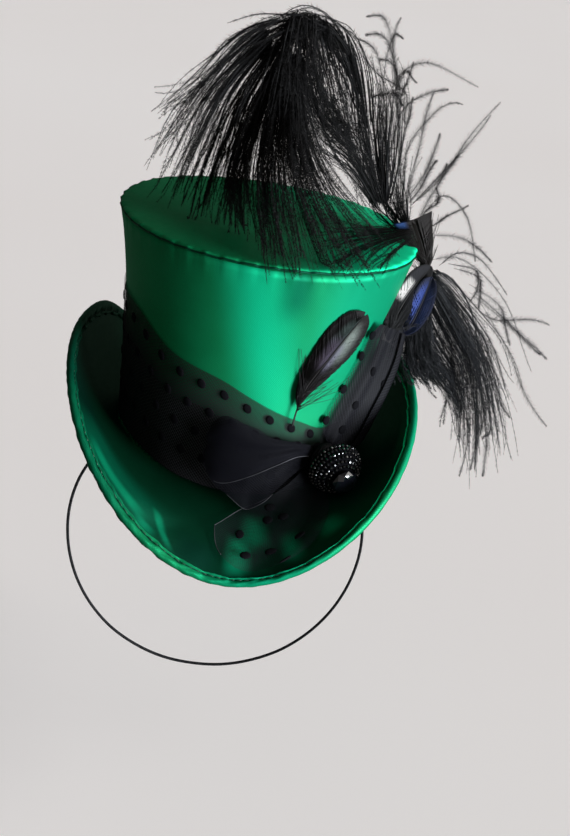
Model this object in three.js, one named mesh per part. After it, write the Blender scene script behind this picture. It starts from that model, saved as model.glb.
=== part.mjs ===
// Mini top hat: a waisted satin crown on a wired brim that rolls up at the sides, with a dotted net band
// tied in a bow, a beaded jewel, four short feathers, two ostrich plumes and an elastic that holds it on.
// Millimetres, +Z up. The origin is the centre of the head opening, and -Y is the front.
// A turn is an angle round the crown in degrees, 0 at the front and 90 at +X, the wearer's left.
import * as THREE from 'three';

// Crown: its radius grows from base to tip by a power of the height.
const CROWN_HEIGHT = 111;
const CROWN_BASE_RADIUS = 56;
const CROWN_TIP_RADIUS = 70;
const CROWN_FLARE = 1.85;
const CROWN_WALL = 2;
const TIP_THICKNESS = 2;
const TIP_EDGE_ROUND = 0.7;

// Brim: its root seam dips by SEAM_SADDLE at front and back, and rises by as much at the sides.
const SEAM_SADDLE = 5;
const BRIM_WIDTH = 51;
const BRIM_INNER_MARGIN = 3;
const BRIM_THICKNESS = 2;
const BRIM_ROOT_SLOPE = 0.5;
const BRIM_CURL = [
  { wave: 0, even: 29.4, odd: 0 },
  { wave: 1, even: -14.7, odd: 2.6 },
  { wave: 2, even: -40.7, odd: 0.15 },
  { wave: 3, even: 1.2, odd: -1.1 },
  { wave: 4, even: -5.4, odd: 0 },
];
const BINDING_WIDTH = 6.5;
const BINDING_WALL = 0.9;
const ROLL_REACH = 0.8;
const ROLL_FLAT = 0.6;

// Small gap that neighbouring pieces keep.
const GAP = 0.3;
const SEAM_GAP = 0.7;

// Net: one worked layer is NET_LAYER thick.
const NET_LAYER = 0.9;
const FOLDS_SHARE = 0.62;
const FOOT_CLEARANCE = 1.6;
const FOOT_REACH = 4;
const FOOT_SHARE = 0.15;
const BAND_TOP = [
  { turn: -180, height: 74 },
  { turn: -120, height: 74 },
  { turn: -64, height: 70 },
  { turn: -38, height: 57.5 },
  { turn: -13, height: 51 },
  { turn: 1, height: 44.5 },
  { turn: 14, height: 38.5 },
  { turn: 26, height: 34 },
  { turn: 40, height: 29.5 },
  { turn: 52, height: 34 },
  { turn: 64, height: 52 },
  { turn: 76, height: 64 },
  { turn: 100, height: 72 },
];

// The end of the band that climbs to the feathers, by its two edges.
const STRIP = [
  { leftTurn: 40.5, leftHeight: 27.5, leftOff: 3.4, rightTurn: 48.5, rightHeight: 13, rightOff: 7 },
  { leftTurn: 42, leftHeight: 35, leftOff: 3.4, rightTurn: 54.5, rightHeight: 21.5, rightOff: 11 },
  { leftTurn: 46, leftHeight: 45, leftOff: 3.6, rightTurn: 64, rightHeight: 34, rightOff: 12.5 },
  { leftTurn: 50, leftHeight: 60, leftOff: 4.2, rightTurn: 74, rightHeight: 47, rightOff: 13 },
  { leftTurn: 54.5, leftHeight: 76, leftOff: 5, rightTurn: 78, rightHeight: 69, rightOff: 10.5 },
];

// The bow: its knot, its loop from the knot round the fold and back, and its tail on the brim.
const KNOT = { turn: 39, height: 15, off: 6.4, halfWidth: 7.2, halfHeight: 9, halfDepth: 3.4 };
const LOOP = [
  { turn: 31, lowHeight: 11, lowOff: 7.4, highHeight: 23, highOff: 7 },
  { turn: 20, lowHeight: 12.5, lowOff: 11, highHeight: 33, highOff: 9 },
  { turn: 8, lowHeight: 7.5, lowOff: 14, highHeight: 37.5, highOff: 10 },
  { turn: -4, lowHeight: 3, lowOff: 13.5, highHeight: 37.5, highOff: 9.5 },
  { turn: -11.5, lowHeight: 4.5, lowOff: 11, highHeight: 34, highOff: 8 },
  { turn: -14.5, lowHeight: 7, lowOff: 8.5, highHeight: 29, highOff: 6 },
  { turn: -11, lowHeight: 1.5, lowOff: 7.5, highHeight: 32, highOff: 4.2 },
  { turn: -2, lowHeight: -4, lowOff: 9, highHeight: 34, highOff: 4.2 },
  { turn: 7, lowHeight: -6, lowOff: 10.5, highHeight: 33, highOff: 4.4 },
  { turn: 18, lowHeight: -0.5, lowOff: 8.5, highHeight: 28, highOff: 4.6 },
  { turn: 31, lowHeight: 10, lowOff: 5, highHeight: 21, highOff: 4.4 },
];
const TAIL = [
  { leftTurn: 30, leftReach: 6.5, midTurn: 35, midReach: 8, rightTurn: 40, rightReach: 9.5, lift: 1.1 },
  { leftTurn: 18, leftReach: 13.5, midTurn: 26, midReach: 20, rightTurn: 34, rightReach: 24, lift: 1.1 },
  { leftTurn: 5.5, leftReach: 17, midTurn: 13, midReach: 32, rightTurn: 27, rightReach: 36, lift: 1.6 },
  { leftTurn: -5.5, leftReach: 24, midTurn: 2.5, midReach: 43, rightTurn: 22, rightReach: 42, lift: 2.6 },
];

// Jewel over the knot.
const JEWEL = { turn: 38.5, radius: 66.9, height: 16.2, facingTurn: 36 };
const DOME_RADIUS = 12.7;
const DOME_HEIGHT = 9.2;
const DOME_EDGE = 1.3;
const STONE_RADIUS = 5.7;
const STONE_HEIGHT = 3.6;
const STONE_TABLE = 0.6;
const STONE_SEAT = STONE_RADIUS - 1;
const DOME_ROWS = [0, 0.25, 0.5, 0.7];
const DOME_SIDES = 24;
const STONE_SIDES = 8;

// Short feathers: the line of the shaft, the greatest width, the share of it that is bare quill, and
// the way the face looks.
// The leaf outline is a half sine, skewed towards the tip, cut off short of its end and made fuller.
const FEATHER_THICKNESS = 0.8;
const FEATHER_CUP = 0.08;
const QUILL_HALF = 0.6;
const LEAF_SKEW = 1.3;
const LEAF_END = 0.93;
const LEAF_FULLNESS = 0.7;
const FRONT_FEATHER_WIDTH = 21;
const FRONT_FEATHER_BARE = 0.2;
const FRONT_FEATHER = [
  { turn: 20.5, height: 29, off: 3.3 },
  { turn: 22, height: 40, off: 3.3 },
  { turn: 28, height: 56, off: 3.4 },
  { turn: 36, height: 74, off: 3.6 },
  { turn: 43.5, height: 89, off: 4 },
];
const SHORT_FEATHERS = [
  {
    name: 'feather_blue',
    colour: 0x2b4aa0,
    width: 11,
    bare: 0.25,
    facing: [0.25, -0.93, 0.25],
    shaft: [{ x: 64.6, y: -17.8, z: 66 }, { x: 75.5, y: -17.6, z: 83.5 }, { x: 81, y: -13, z: 99 }],
  },
  {
    name: 'feather_pied',
    colour: 0x17161a,
    width: 10.5,
    bare: 0.12,
    facing: [0.5, -0.8, 0.3],
    shaft: [{ x: 61.4, y: -26.3, z: 70 }, { x: 69, y: -16, z: 88 }, { x: 73, y: -10, z: 104 }],
  },
  {
    name: 'feather_dark',
    colour: 0x1d1816,
    width: 12,
    bare: 0.4,
    facing: [0.35, -0.85, 0.4],
    shaft: [
      { x: 63.8, y: -21.2, z: 67 },
      { x: 73.5, y: -9, z: 86 },
      { x: 79.5, y: -2, z: 104 },
      { x: 76, y: 0, z: 117 },
      { x: 65, y: 1, z: 128 },
    ],
  },
];

// Ostrich plumes: the line of the shaft and how far the mass reaches sideways, over and under it.
const PLUME_TOP = [
  { x: 68.3, y: -15.9, z: 66, side: 0.8, over: 0.8, under: 0.8 },
  { x: 73.5, y: 1, z: 84, side: 1.1, over: 1.1, under: 1.1 },
  { x: 78.5, y: 12, z: 99, side: 1.8, over: 1.8, under: 1.8 },
  { x: 78, y: 20, z: 116, side: 6, over: 6, under: 4 },
  { x: 67, y: 23, z: 138, side: 16, over: 12, under: 11 },
  { x: 48, y: 20, z: 159, side: 25, over: 18, under: 40 },
  { x: 24, y: 10, z: 176, side: 32, over: 23, under: 60 },
  { x: 0, y: -2, z: 183, side: 34, over: 23, under: 67 },
  { x: -24, y: -10, z: 173, side: 31, over: 21, under: 57 },
  { x: -44, y: -14, z: 152, side: 22, over: 15, under: 34 },
  { x: -57, y: -16, z: 132, side: 5, over: 5, under: 5 },
];
const PLUME_SIDE = [
  { x: 69.7, y: -14.6, z: 63, side: 0.8, over: 0.8, under: 0.8 },
  { x: 77, y: 3, z: 82, side: 1.1, over: 1.1, under: 1.1 },
  { x: 85, y: 12, z: 97, side: 2.4, over: 2.4, under: 2.4 },
  { x: 98, y: 17, z: 106, side: 9, over: 9, under: 8 },
  { x: 113, y: 19, z: 98, side: 17, over: 16, under: 16 },
  { x: 124, y: 19, z: 76, side: 21, over: 20, under: 18 },
  { x: 128, y: 17, z: 46, side: 20, over: 19, under: 17 },
  { x: 126, y: 15, z: 16, side: 13, over: 12, under: 10 },
  { x: 123, y: 14, z: -12, side: 3, over: 3, under: 3 },
];
const PLUME_SIDES = 12;
const PLUME_STEPS = 16;
const PLUMB_FROM = 8;
const PLUMB_TO = 24;

// Elastic: half of its route, from the brim's root at the side to the lowest point.
const ELASTIC_DIAMETER = 1.5;
const ELASTIC_SIDES = 8;
const ELASTIC_STEPS = 76;
const ELASTIC_HALF = [
  { x: 55, y: 0, z: 3.5 },
  { x: 56.5, y: 0.4, z: -4 },
  { x: 60.5, y: 1, z: -12.5 },
  { x: 66, y: 1.8, z: -22.5 },
  { x: 70.8, y: 2.8, z: -34.5 },
  { x: 73.3, y: 3.8, z: -48 },
  { x: 73.2, y: 4.9, z: -62 },
  { x: 70.4, y: 6, z: -77 },
  { x: 64.6, y: 7.1, z: -92 },
  { x: 55.6, y: 8.2, z: -106 },
  { x: 43.6, y: 9.2, z: -118 },
  { x: 29.5, y: 10, z: -126.5 },
  { x: 15, y: 10.5, z: -131.5 },
  { x: 0, y: 10.7, z: -133 },
];

// Facets: brim and crown round the hat, then each sheet along and across. FINE is the step for slopes.
const BRIM_STEPS = 64;
const CROWN_STEPS = 48;
const CROWN_ROWS = 6;
const FOLDS_ROWS = 3;
const NET_ROWS = 4;
const STRIP_FACETS = { along: 10, across: 3 };
const LOOP_FACETS = { along: 30, across: 3 };
const TAIL_FACETS = { along: 10, across: 6 };
const BLADE_FACETS = { along: 9, across: 4 };
const KNOT_FACETS = { round: 12, rise: 8 };
const FINE = 1e-3;

const radians = THREE.MathUtils.degToRad;
const lerp = THREE.MathUtils.lerp;
const vector = (x, y, z) => new THREE.Vector3(x, y, z);
const turnAt = (u) => 360 * u - 180;

const satin = new THREE.MeshStandardMaterial({ color: 0x0a8a58, roughness: 0.42, metalness: 0 });
const satinEdge = new THREE.MeshStandardMaterial({ color: 0x0c9a63, roughness: 0.4, metalness: 0 });
const denseNet = new THREE.MeshStandardMaterial({ color: 0x141418, roughness: 0.9, metalness: 0 });
const sheerNet = new THREE.MeshStandardMaterial({ color: 0x22222a, roughness: 0.85, metalness: 0 });
const beads = new THREE.MeshStandardMaterial({ color: 0x0b0b10, roughness: 0.2, metalness: 0 });
const stone = new THREE.MeshStandardMaterial({ color: 0x050507, roughness: 0.05, metalness: 0 });
const ostrich = new THREE.MeshStandardMaterial({ color: 0x0e0e0f, roughness: 0.8, metalness: 0 });
const elasticCover = new THREE.MeshStandardMaterial({ color: 0x101012, roughness: 0.7, metalness: 0 });

const hat = new THREE.Group();

function addPiece(name, geometry, material, parent = hat) {
  const mesh = new THREE.Mesh(geometry, material);
  mesh.name = name;
  parent.add(mesh);
}

// A closed body from points and triangles, turned inside out if its volume comes out negative.
function closedBody(points, triangles) {
  const volume = triangles.reduce(
    (sum, [a, b, c]) => sum + points[a].dot(vector().crossVectors(points[b], points[c])),
    0,
  );
  const facing = triangles.flatMap(([a, b, c]) => (volume > 0 ? [a, b, c] : [a, c, b]));
  const geometry = new THREE.BufferGeometry();
  geometry.setAttribute('position', new THREE.Float32BufferAttribute(points.flatMap((p) => p.toArray()), 3));
  geometry.setIndex(facing);
  geometry.computeVertexNormals();
  return geometry;
}

// A wall between two faces, each a function of u (round or along) and v (across), both from 0 to 1.
function wall(front, back, uSteps, vSteps, isRing) {
  const columns = isRing ? uSteps : uSteps + 1;
  const rows = vSteps + 1;
  const points = [];
  for (const face of [front, back]) {
    for (let i = 0; i < columns; i += 1) {
      for (let j = 0; j < rows; j += 1) {
        points.push(face(i / uSteps, j / vSteps));
      }
    }
  }
  const at = (side, i, j) => (side * columns + (i % columns)) * rows + j;
  const triangles = [];
  const quad = (a, b, c, d) => triangles.push([a, b, c], [a, c, d]);
  for (let i = 0; i < uSteps; i += 1) {
    for (let j = 0; j < vSteps; j += 1) {
      quad(at(0, i, j), at(0, i + 1, j), at(0, i + 1, j + 1), at(0, i, j + 1));
      quad(at(1, i, j), at(1, i, j + 1), at(1, i + 1, j + 1), at(1, i + 1, j));
    }
    quad(at(0, i, 0), at(1, i, 0), at(1, i + 1, 0), at(0, i + 1, 0));
    quad(at(0, i, vSteps), at(0, i + 1, vSteps), at(1, i + 1, vSteps), at(1, i, vSteps));
  }
  for (let j = 0; j < vSteps && !isRing; j += 1) {
    quad(at(0, 0, j), at(0, 0, j + 1), at(1, 0, j + 1), at(1, 0, j));
    quad(at(0, uSteps, j), at(1, uSteps, j), at(1, uSteps, j + 1), at(0, uSteps, j + 1));
  }
  return closedBody(points, triangles);
}

// A sheet of even thickness about a middle surface, which is a function of u and v.
function sheet(middle, thickness, facets) {
  const face = (share) => (u, v) => {
    const alongU = middle(Math.min(u + FINE, 1), v).sub(middle(Math.max(u - FINE, 0), v));
    const alongV = middle(u, Math.min(v + FINE, 1)).sub(middle(u, Math.max(v - FINE, 0)));
    const normal = alongU.cross(alongV).normalize();
    return middle(u, v).addScaledVector(normal, share * thickness);
  };
  return wall(face(0.5), face(-0.5), facets.along, facets.across, false);
}

// A body through a row of closed rings with the same number of points, closed at both ends.
function loft(rings) {
  const count = rings[0].length;
  const points = rings.flat();
  const triangles = [];
  for (let i = 0; i + 1 < rings.length; i += 1) {
    for (let j = 0; j < count; j += 1) {
      const next = (j + 1) % count;
      const [a, b, c, d] = [i * count + j, i * count + next, (i + 1) * count + next, (i + 1) * count + j];
      triangles.push([a, b, c], [a, c, d]);
    }
  }
  const last = (rings.length - 1) * count;
  for (let j = 1; j + 1 < count; j += 1) {
    triangles.push([0, j + 1, j], [last, last + j, last + j + 1]);
  }
  return closedBody(points, triangles);
}

// A value from a table of turns, joined by smooth cubics all the way round.
function roundTable(rows, turn) {
  const count = rows.length;
  const row = (i) => {
    const lap = Math.floor(i / count);
    const { turn: rowTurn, height } = rows[i - lap * count];
    return { turn: rowTurn + 360 * lap, height };
  };
  let i = 0;
  while (row(i + 1).turn <= turn) {
    i += 1;
  }
  const slope = (k) => (row(k + 1).height - row(k - 1).height) / (row(k + 1).turn - row(k - 1).turn);
  const span = row(i + 1).turn - row(i).turn;
  const t = (turn - row(i).turn) / span;
  const [a, b] = [row(i).height, row(i + 1).height];
  const startShare = 2 * t ** 3 - 3 * t ** 2 + 1;
  const startPull = (t ** 3 - 2 * t ** 2 + t) * span * slope(i);
  const endPull = (t ** 3 - t ** 2) * span * slope(i + 1);
  return a * startShare + b * (1 - startShare) + startPull + endPull;
}

const around = (radius, turn, height) =>
  vector(radius * Math.sin(radians(turn)), -radius * Math.cos(radians(turn)), height);

function crownRadius(height) {
  const share = Math.max(height, 0) / CROWN_HEIGHT;
  return lerp(CROWN_BASE_RADIUS, CROWN_TIP_RADIUS, share ** CROWN_FLARE);
}

const onCrown = (turn, height, off) => around(crownRadius(height) + off, turn, height);
const seamHeight = (turn) => -SEAM_SADDLE * Math.cos(2 * radians(turn));
// The slope of the brim's edge in degrees: waves round the crown, the odd ones unlike on left and right.
function brimCurl(turn) {
  const angle = radians(turn);
  return BRIM_CURL.reduce(
    (sum, { wave, even, odd }) => sum + even * Math.cos(wave * angle) + odd * Math.sin(wave * angle),
    0,
  );
}

// The middle of the brim, reach millimetres out from the crown: its slope grows from root to edge.
function brimMiddle(turn, reach) {
  const share = Math.max(reach, 0) / BRIM_WIDTH;
  const slope = reach < 0 ? 0 : radians(brimCurl(turn) * lerp(BRIM_ROOT_SLOPE, 1, share));
  const radius = CROWN_BASE_RADIUS + reach * Math.cos(slope);
  return around(radius, turn, seamHeight(turn) + reach * Math.sin(slope));
}

function onBrim(turn, reach, off) {
  const outward = brimMiddle(turn, reach + FINE).sub(brimMiddle(turn, reach - FINE));
  const sideways = brimMiddle(turn + FINE, reach).sub(brimMiddle(turn - FINE, reach));
  return brimMiddle(turn, reach).addScaledVector(outward.cross(sideways).normalize(), off);
}

// Crown: a hollow wall of revolution that stands on the brim's root, and a flat disc on top of it.
function crown() {
  const foot = (turn) => seamHeight(turn) + BRIM_THICKNESS / 2 + SEAM_GAP;
  const head = CROWN_HEIGHT - TIP_THICKNESS - GAP;
  const face = (off) => (u, v) => onCrown(turnAt(u), lerp(foot(turnAt(u)), head, v), off);
  addPiece('crown_side', wall(face(0), face(-CROWN_WALL), CROWN_STEPS, CROWN_ROWS, true), satin);

  const low = CROWN_HEIGHT - TIP_THICKNESS;
  const inset = CROWN_TIP_RADIUS - TIP_EDGE_ROUND;
  const profile = [
    [0, low],
    [inset, low],
    [CROWN_TIP_RADIUS, low + TIP_EDGE_ROUND],
    [CROWN_TIP_RADIUS, CROWN_HEIGHT - TIP_EDGE_ROUND],
    [inset, CROWN_HEIGHT],
    [0, CROWN_HEIGHT],
  ].map(([x, y]) => new THREE.Vector2(x, y));
  const disc = new THREE.LatheGeometry(profile, CROWN_STEPS);
  disc.rotateX(Math.PI / 2);
  addPiece('crown_tip', disc, satin);
}

// Brim: a saddle-shaped sheet, and the strip that is turned over its edge like a U.
function brim() {
  const wrap = BRIM_THICKNESS / 2 + GAP;
  const skin = wrap + BINDING_WALL;
  const edge = BRIM_WIDTH - skin;
  const hem = edge - BINDING_WIDTH;
  const hemMiddle = edge - BINDING_WIDTH / 2;
  const reaches = [-BRIM_INNER_MARGIN, 0, hem / 4, hem / 2, 0.75 * hem, hem, hemMiddle, edge];
  const steps = reaches.length - 1;
  const face = (off) => (u, v) => onBrim(turnAt(u), reaches[Math.round(v * steps)], off);
  const half = BRIM_THICKNESS / 2;
  addPiece('brim', wall(face(half), face(-half), BRIM_STEPS, steps, true), satin);

  const outside = [
    [hem, skin],
    [hemMiddle, skin],
    [edge, skin],
    [edge + ROLL_REACH * skin, ROLL_FLAT * skin],
    [edge + ROLL_REACH * skin, -ROLL_FLAT * skin],
    [edge, -skin],
    [hemMiddle, -skin],
    [hem, -skin],
  ];
  const inside = [
    [hem, -wrap],
    [hemMiddle, -wrap],
    [edge + GAP, -wrap],
    [edge + GAP, wrap],
    [hemMiddle, wrap],
    [hem, wrap],
  ];
  const section = [...outside, ...inside];
  const rings = Array.from({ length: BRIM_STEPS }, (_, i) =>
    section.map(([reach, off]) => onBrim(turnAt(i / BRIM_STEPS), reach, off)),
  );
  const count = section.length;
  const triangles = [];
  for (let i = 0; i < BRIM_STEPS; i += 1) {
    for (let j = 0; j < count; j += 1) {
      const [near, far] = [i * count, ((i + 1) % BRIM_STEPS) * count];
      const next = (j + 1) % count;
      triangles.push([near + j, near + next, far + next], [near + j, far + next, far + j]);
    }
  }
  addPiece('brim_binding', closedBody(rings.flat(), triangles), satinEdge);
}

// Band: gathered layers at the foot of the crown, and one sheer layer over them to the full height.
function band() {
  const rootSlope = (turn) => Math.max(0, radians(brimCurl(turn) * lerp(BRIM_ROOT_SLOPE, 1, FOOT_SHARE)));
  const foot = (turn) => seamHeight(turn) + FOOT_CLEARANCE + FOOT_REACH * Math.tan(rootSlope(turn));
  const top = (turn) => roundTable(BAND_TOP, turn);
  const layer = (share, off) => (u, v) => {
    const turn = turnAt(u);
    return onCrown(turn, lerp(foot(turn), top(turn), share * v), off);
  };
  const foldsOuter = GAP + NET_LAYER;
  const [foldsFace, foldsBack] = [layer(FOLDS_SHARE, foldsOuter), layer(FOLDS_SHARE, GAP)];
  const folds = wall(foldsFace, foldsBack, CROWN_STEPS, FOLDS_ROWS, true);
  addPiece('band_folds', folds, denseNet);
  const netInner = foldsOuter + GAP;
  const net = wall(layer(1, netInner + NET_LAYER), layer(1, netInner), CROWN_STEPS, NET_ROWS, true);
  addPiece('band_net', net, sheerNet);
}

// A ribbon between two smooth edges.
function ribbon(lowPoints, highPoints, facets) {
  const low = new THREE.CatmullRomCurve3(lowPoints);
  const high = new THREE.CatmullRomCurve3(highPoints);
  const middle = (u, v) => low.getPoint(u).lerp(high.getPoint(u), v);
  return sheet(middle, NET_LAYER, facets);
}

// Bow: the strip that climbs to the feathers, the knot, the loop and the tail on the brim.
function bow() {
  const left = STRIP.map((row) => onCrown(row.leftTurn, row.leftHeight, row.leftOff));
  const right = STRIP.map((row) => onCrown(row.rightTurn, row.rightHeight, row.rightOff));
  addPiece('band_strip', ribbon(left, right, STRIP_FACETS), sheerNet);

  const knot = new THREE.SphereGeometry(1, KNOT_FACETS.round, KNOT_FACETS.rise);
  knot.scale(KNOT.halfWidth, KNOT.halfDepth, KNOT.halfHeight);
  knot.rotateZ(radians(KNOT.turn));
  knot.translate(...onCrown(KNOT.turn, KNOT.height, KNOT.off).toArray());
  addPiece('bow_knot', knot, denseNet);

  const low = LOOP.map((row) => onCrown(row.turn, row.lowHeight, row.lowOff));
  const high = LOOP.map((row) => onCrown(row.turn, row.highHeight, row.highOff));
  addPiece('bow_loop', ribbon(low, high, LOOP_FACETS), sheerNet);

  const edge = (turnKey, reachKey) =>
    new THREE.CatmullRomCurve3(TAIL.map((row) => vector(row[turnKey], row[reachKey], row.lift)));
  const leftEdge = edge('leftTurn', 'leftReach');
  const midLine = edge('midTurn', 'midReach');
  const rightEdge = edge('rightTurn', 'rightReach');
  const face = (off) => (u, v) => {
    const place = leftEdge.getPoint(u).multiplyScalar((1 - v) * (1 - 2 * v));
    place.addScaledVector(midLine.getPoint(u), 4 * v * (1 - v));
    place.addScaledVector(rightEdge.getPoint(u), v * (2 * v - 1));
    return onBrim(place.x, place.y, BRIM_THICKNESS / 2 + place.z + off);
  };
  const { along, across } = TAIL_FACETS;
  addPiece('bow_tail', wall(face(NET_LAYER / 2), face(-NET_LAYER / 2), along, across, false), sheerNet);
}

// Jewel: a low dome and an eight-sided stone on its top, square to the way it faces.
function jewel() {
  const setting = new THREE.Group();
  setting.position.copy(around(JEWEL.radius, JEWEL.turn, JEWEL.height));
  setting.rotation.set(0, 0, radians(JEWEL.facingTurn));
  hat.add(setting);
  const lathe = (profile, sides) => {
    const points = profile.map(([x, y]) => new THREE.Vector2(x, y));
    return new THREE.LatheGeometry(points, sides).rotateX(Math.PI);
  };
  const rise = (share) => {
    const angle = (share * Math.PI) / 2;
    return [DOME_RADIUS * Math.cos(angle), DOME_EDGE + (DOME_HEIGHT - DOME_EDGE) * Math.sin(angle)];
  };
  const rim = [[0, 0], [DOME_RADIUS, 0]];
  const dome = [...rim, ...DOME_ROWS.map(rise), [STONE_SEAT, DOME_HEIGHT], [0, DOME_HEIGHT]];
  addPiece('jewel_dome', lathe(dome, DOME_SIDES), beads, setting);
  const base = DOME_HEIGHT + GAP;
  const girdle = base + STONE_HEIGHT / 3;
  const crownTop = base + STONE_HEIGHT;
  const facets = [
    [0, base],
    [STONE_SEAT, base],
    [STONE_RADIUS, girdle],
    [STONE_RADIUS * STONE_TABLE, crownTop],
    [0, crownTop],
  ];
  addPiece('jewel_stone', lathe(facets, STONE_SIDES), stone, setting);
}

// A feather blade: a leaf-shaped sheet about its shaft, cupped a little towards the side it faces.
// The first share of the shaft, bare, is plain quill.
function blade(shaftPoints, width, bare, facing) {
  const shaft = new THREE.CatmullRomCurve3(shaftPoints);
  const middle = (u, v) => {
    const side = shaft.getTangent(u).cross(facing(shaft.getPoint(u))).normalize();
    const share = Math.max(0, (u - bare) / (1 - bare));
    const leaf = Math.sin(Math.PI * Math.min(share ** LEAF_SKEW, LEAF_END)) ** LEAF_FULLNESS;
    const half = Math.max(QUILL_HALF, (leaf * width) / 2);
    const across = 2 * v - 1;
    const point = shaft.getPoint(u).addScaledVector(side, across * half);
    return point.addScaledVector(facing(point), -FEATHER_CUP * half * across ** 2);
  };
  return sheet(middle, FEATHER_THICKNESS, BLADE_FACETS);
}

// The feather that lies on the crown faces outward all along; the others face one way each.
function feathers() {
  const outward = (point) => vector(point.x, point.y, 0).normalize();
  const front = FRONT_FEATHER.map(({ turn, height, off }) => onCrown(turn, height, off));
  const glossy = new THREE.MeshStandardMaterial({ color: 0x1a1718, roughness: 0.35, metalness: 0 });
  addPiece('feather_front', blade(front, FRONT_FEATHER_WIDTH, FRONT_FEATHER_BARE, outward), glossy);
  for (const { name, colour, width, bare, facing, shaft } of SHORT_FEATHERS) {
    const towards = vector(...facing).normalize();
    const points = shaft.map(({ x, y, z }) => vector(x, y, z));
    const sheen = new THREE.MeshStandardMaterial({ color: colour, roughness: 0.35, metalness: 0 });
    addPiece(name, blade(points, width, bare, () => towards), sheen);
  }
}

// A plume's outer form: ovals along its shaft, which reach over and under it as the mass hangs.
// An oval stands square to the shaft, or upright where the mass is wide and hangs plumb.
function plume(rows, hangsPlumb) {
  const arch = new THREE.CatmullRomCurve3(rows.map(({ x, y, z }) => vector(x, y, z)));
  const reach = new THREE.CatmullRomCurve3(rows.map(({ side, over, under }) => vector(side, over, under)));
  const bend = Math.sign(rows[0].x - rows.at(-1).x);
  const rings = Array.from({ length: PLUME_STEPS + 1 }, (_, i) => {
    const u = i / PLUME_STEPS;
    const middle = arch.getPoint(u);
    const tangent = arch.getTangent(u);
    const size = reach.getPoint(u);
    const plumb = hangsPlumb ? THREE.MathUtils.smoothstep(size.x, PLUMB_FROM, PLUMB_TO) : 0;
    const up = vector(tangent.z, 0, -tangent.x).multiplyScalar(bend).lerp(vector(0, 0, 1), plumb).normalize();
    const side = up.clone().cross(tangent).normalize();
    return Array.from({ length: PLUME_SIDES }, (__, j) => {
      const angle = (2 * Math.PI * j) / PLUME_SIDES;
      const lift = Math.sin(angle) * (Math.sin(angle) > 0 ? size.y : size.z);
      return middle.clone().addScaledVector(side, Math.cos(angle) * size.x).addScaledVector(up, lift);
    });
  });
  return loft(rings);
}

// Elastic: one round cord, symmetric about the middle of the hat.
function elastic() {
  const right = ELASTIC_HALF.map(({ x, y, z }) => vector(x, y, z));
  const left = ELASTIC_HALF.slice(0, -1).reverse().map(({ x, y, z }) => vector(-x, y, z));
  const route = new THREE.CatmullRomCurve3([...right, ...left]);
  const section = new THREE.Shape(
    Array.from({ length: ELASTIC_SIDES }, (_, i) => {
      const angle = (2 * Math.PI * i) / ELASTIC_SIDES;
      return new THREE.Vector2(Math.cos(angle), Math.sin(angle)).multiplyScalar(ELASTIC_DIAMETER / 2);
    }),
  );
  const cord = new THREE.ExtrudeGeometry(section, { steps: ELASTIC_STEPS, extrudePath: route });
  addPiece('elastic', cord, elasticCover);
}

crown();
brim();
band();
bow();
jewel();
feathers();
addPiece('plume_top', plume(PLUME_TOP, true), ostrich);
addPiece('plume_side', plume(PLUME_SIDE, false), ostrich);
elastic();

export default hat;
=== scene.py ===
"""Mini top hat: a satin crown on a rolled brim, with a dotted net band and bow, jewel, feathers and plumes.
Metres, +Z up. A turn is an angle round the crown in degrees, 0 at the front (-Y) and positive towards +X.
"""
import math

import bpy
import numpy as np
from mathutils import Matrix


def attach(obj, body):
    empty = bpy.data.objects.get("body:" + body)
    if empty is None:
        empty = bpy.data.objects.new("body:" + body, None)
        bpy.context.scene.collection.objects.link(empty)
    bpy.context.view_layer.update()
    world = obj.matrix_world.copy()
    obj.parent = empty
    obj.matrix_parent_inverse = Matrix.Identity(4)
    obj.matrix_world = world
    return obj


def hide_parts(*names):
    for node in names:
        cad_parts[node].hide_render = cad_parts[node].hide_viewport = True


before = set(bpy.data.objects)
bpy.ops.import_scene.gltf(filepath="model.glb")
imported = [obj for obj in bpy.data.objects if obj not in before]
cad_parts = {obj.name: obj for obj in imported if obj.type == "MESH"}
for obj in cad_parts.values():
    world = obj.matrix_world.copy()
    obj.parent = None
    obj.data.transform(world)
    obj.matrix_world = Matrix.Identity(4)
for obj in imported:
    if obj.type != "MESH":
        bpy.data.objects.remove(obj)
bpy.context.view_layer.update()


# Camera: a short telephoto 0.94 m from the middle of the hat, above it and rolled to the left.
# The picture is 570 by 836, and its middle is a little right of and above the origin.
PICTURE_HEIGHT = 836
FOCAL_PIXELS = 1927
SENSOR_MM = 36
CAMERA_DISTANCE = 0.94
MIDDLE_RIGHT, MIDDLE_UP = 52.44 / FOCAL_PIXELS, 19.05 / FOCAL_PIXELS
elevation, azimuth, roll = np.radians([22.5, -4.3, 9.9])
level_right = np.array([math.cos(azimuth), math.sin(azimuth), 0])
level_away = np.array([-math.sin(azimuth), math.cos(azimuth), 0])
upright = np.array([0, 0, 1])
tilted_up = level_away * math.sin(elevation) + upright * math.cos(elevation)
towards_camera = upright * math.sin(elevation) - level_away * math.cos(elevation)
right = level_right * math.cos(roll) + tilted_up * math.sin(roll)
up = tilted_up * math.cos(roll) - level_right * math.sin(roll)
forward = MIDDLE_RIGHT * right + MIDDLE_UP * up - towards_camera
forward /= np.linalg.norm(forward)
right -= forward * (right @ forward)
right /= np.linalg.norm(right)
placing = np.eye(4)
placing[:3, 0] = right
placing[:3, 1] = np.cross(right, forward)
placing[:3, 2] = -forward
placing[:3, 3] = towards_camera * CAMERA_DISTANCE
camera_data = bpy.data.cameras.new("camera")
camera_data.sensor_width = SENSOR_MM
camera_data.lens = FOCAL_PIXELS * SENSOR_MM / PICTURE_HEIGHT
camera = bpy.data.objects.new("camera", camera_data)
camera.matrix_world = placing.T.tolist()
bpy.context.collection.objects.link(camera)
bpy.context.scene.camera = camera


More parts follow.
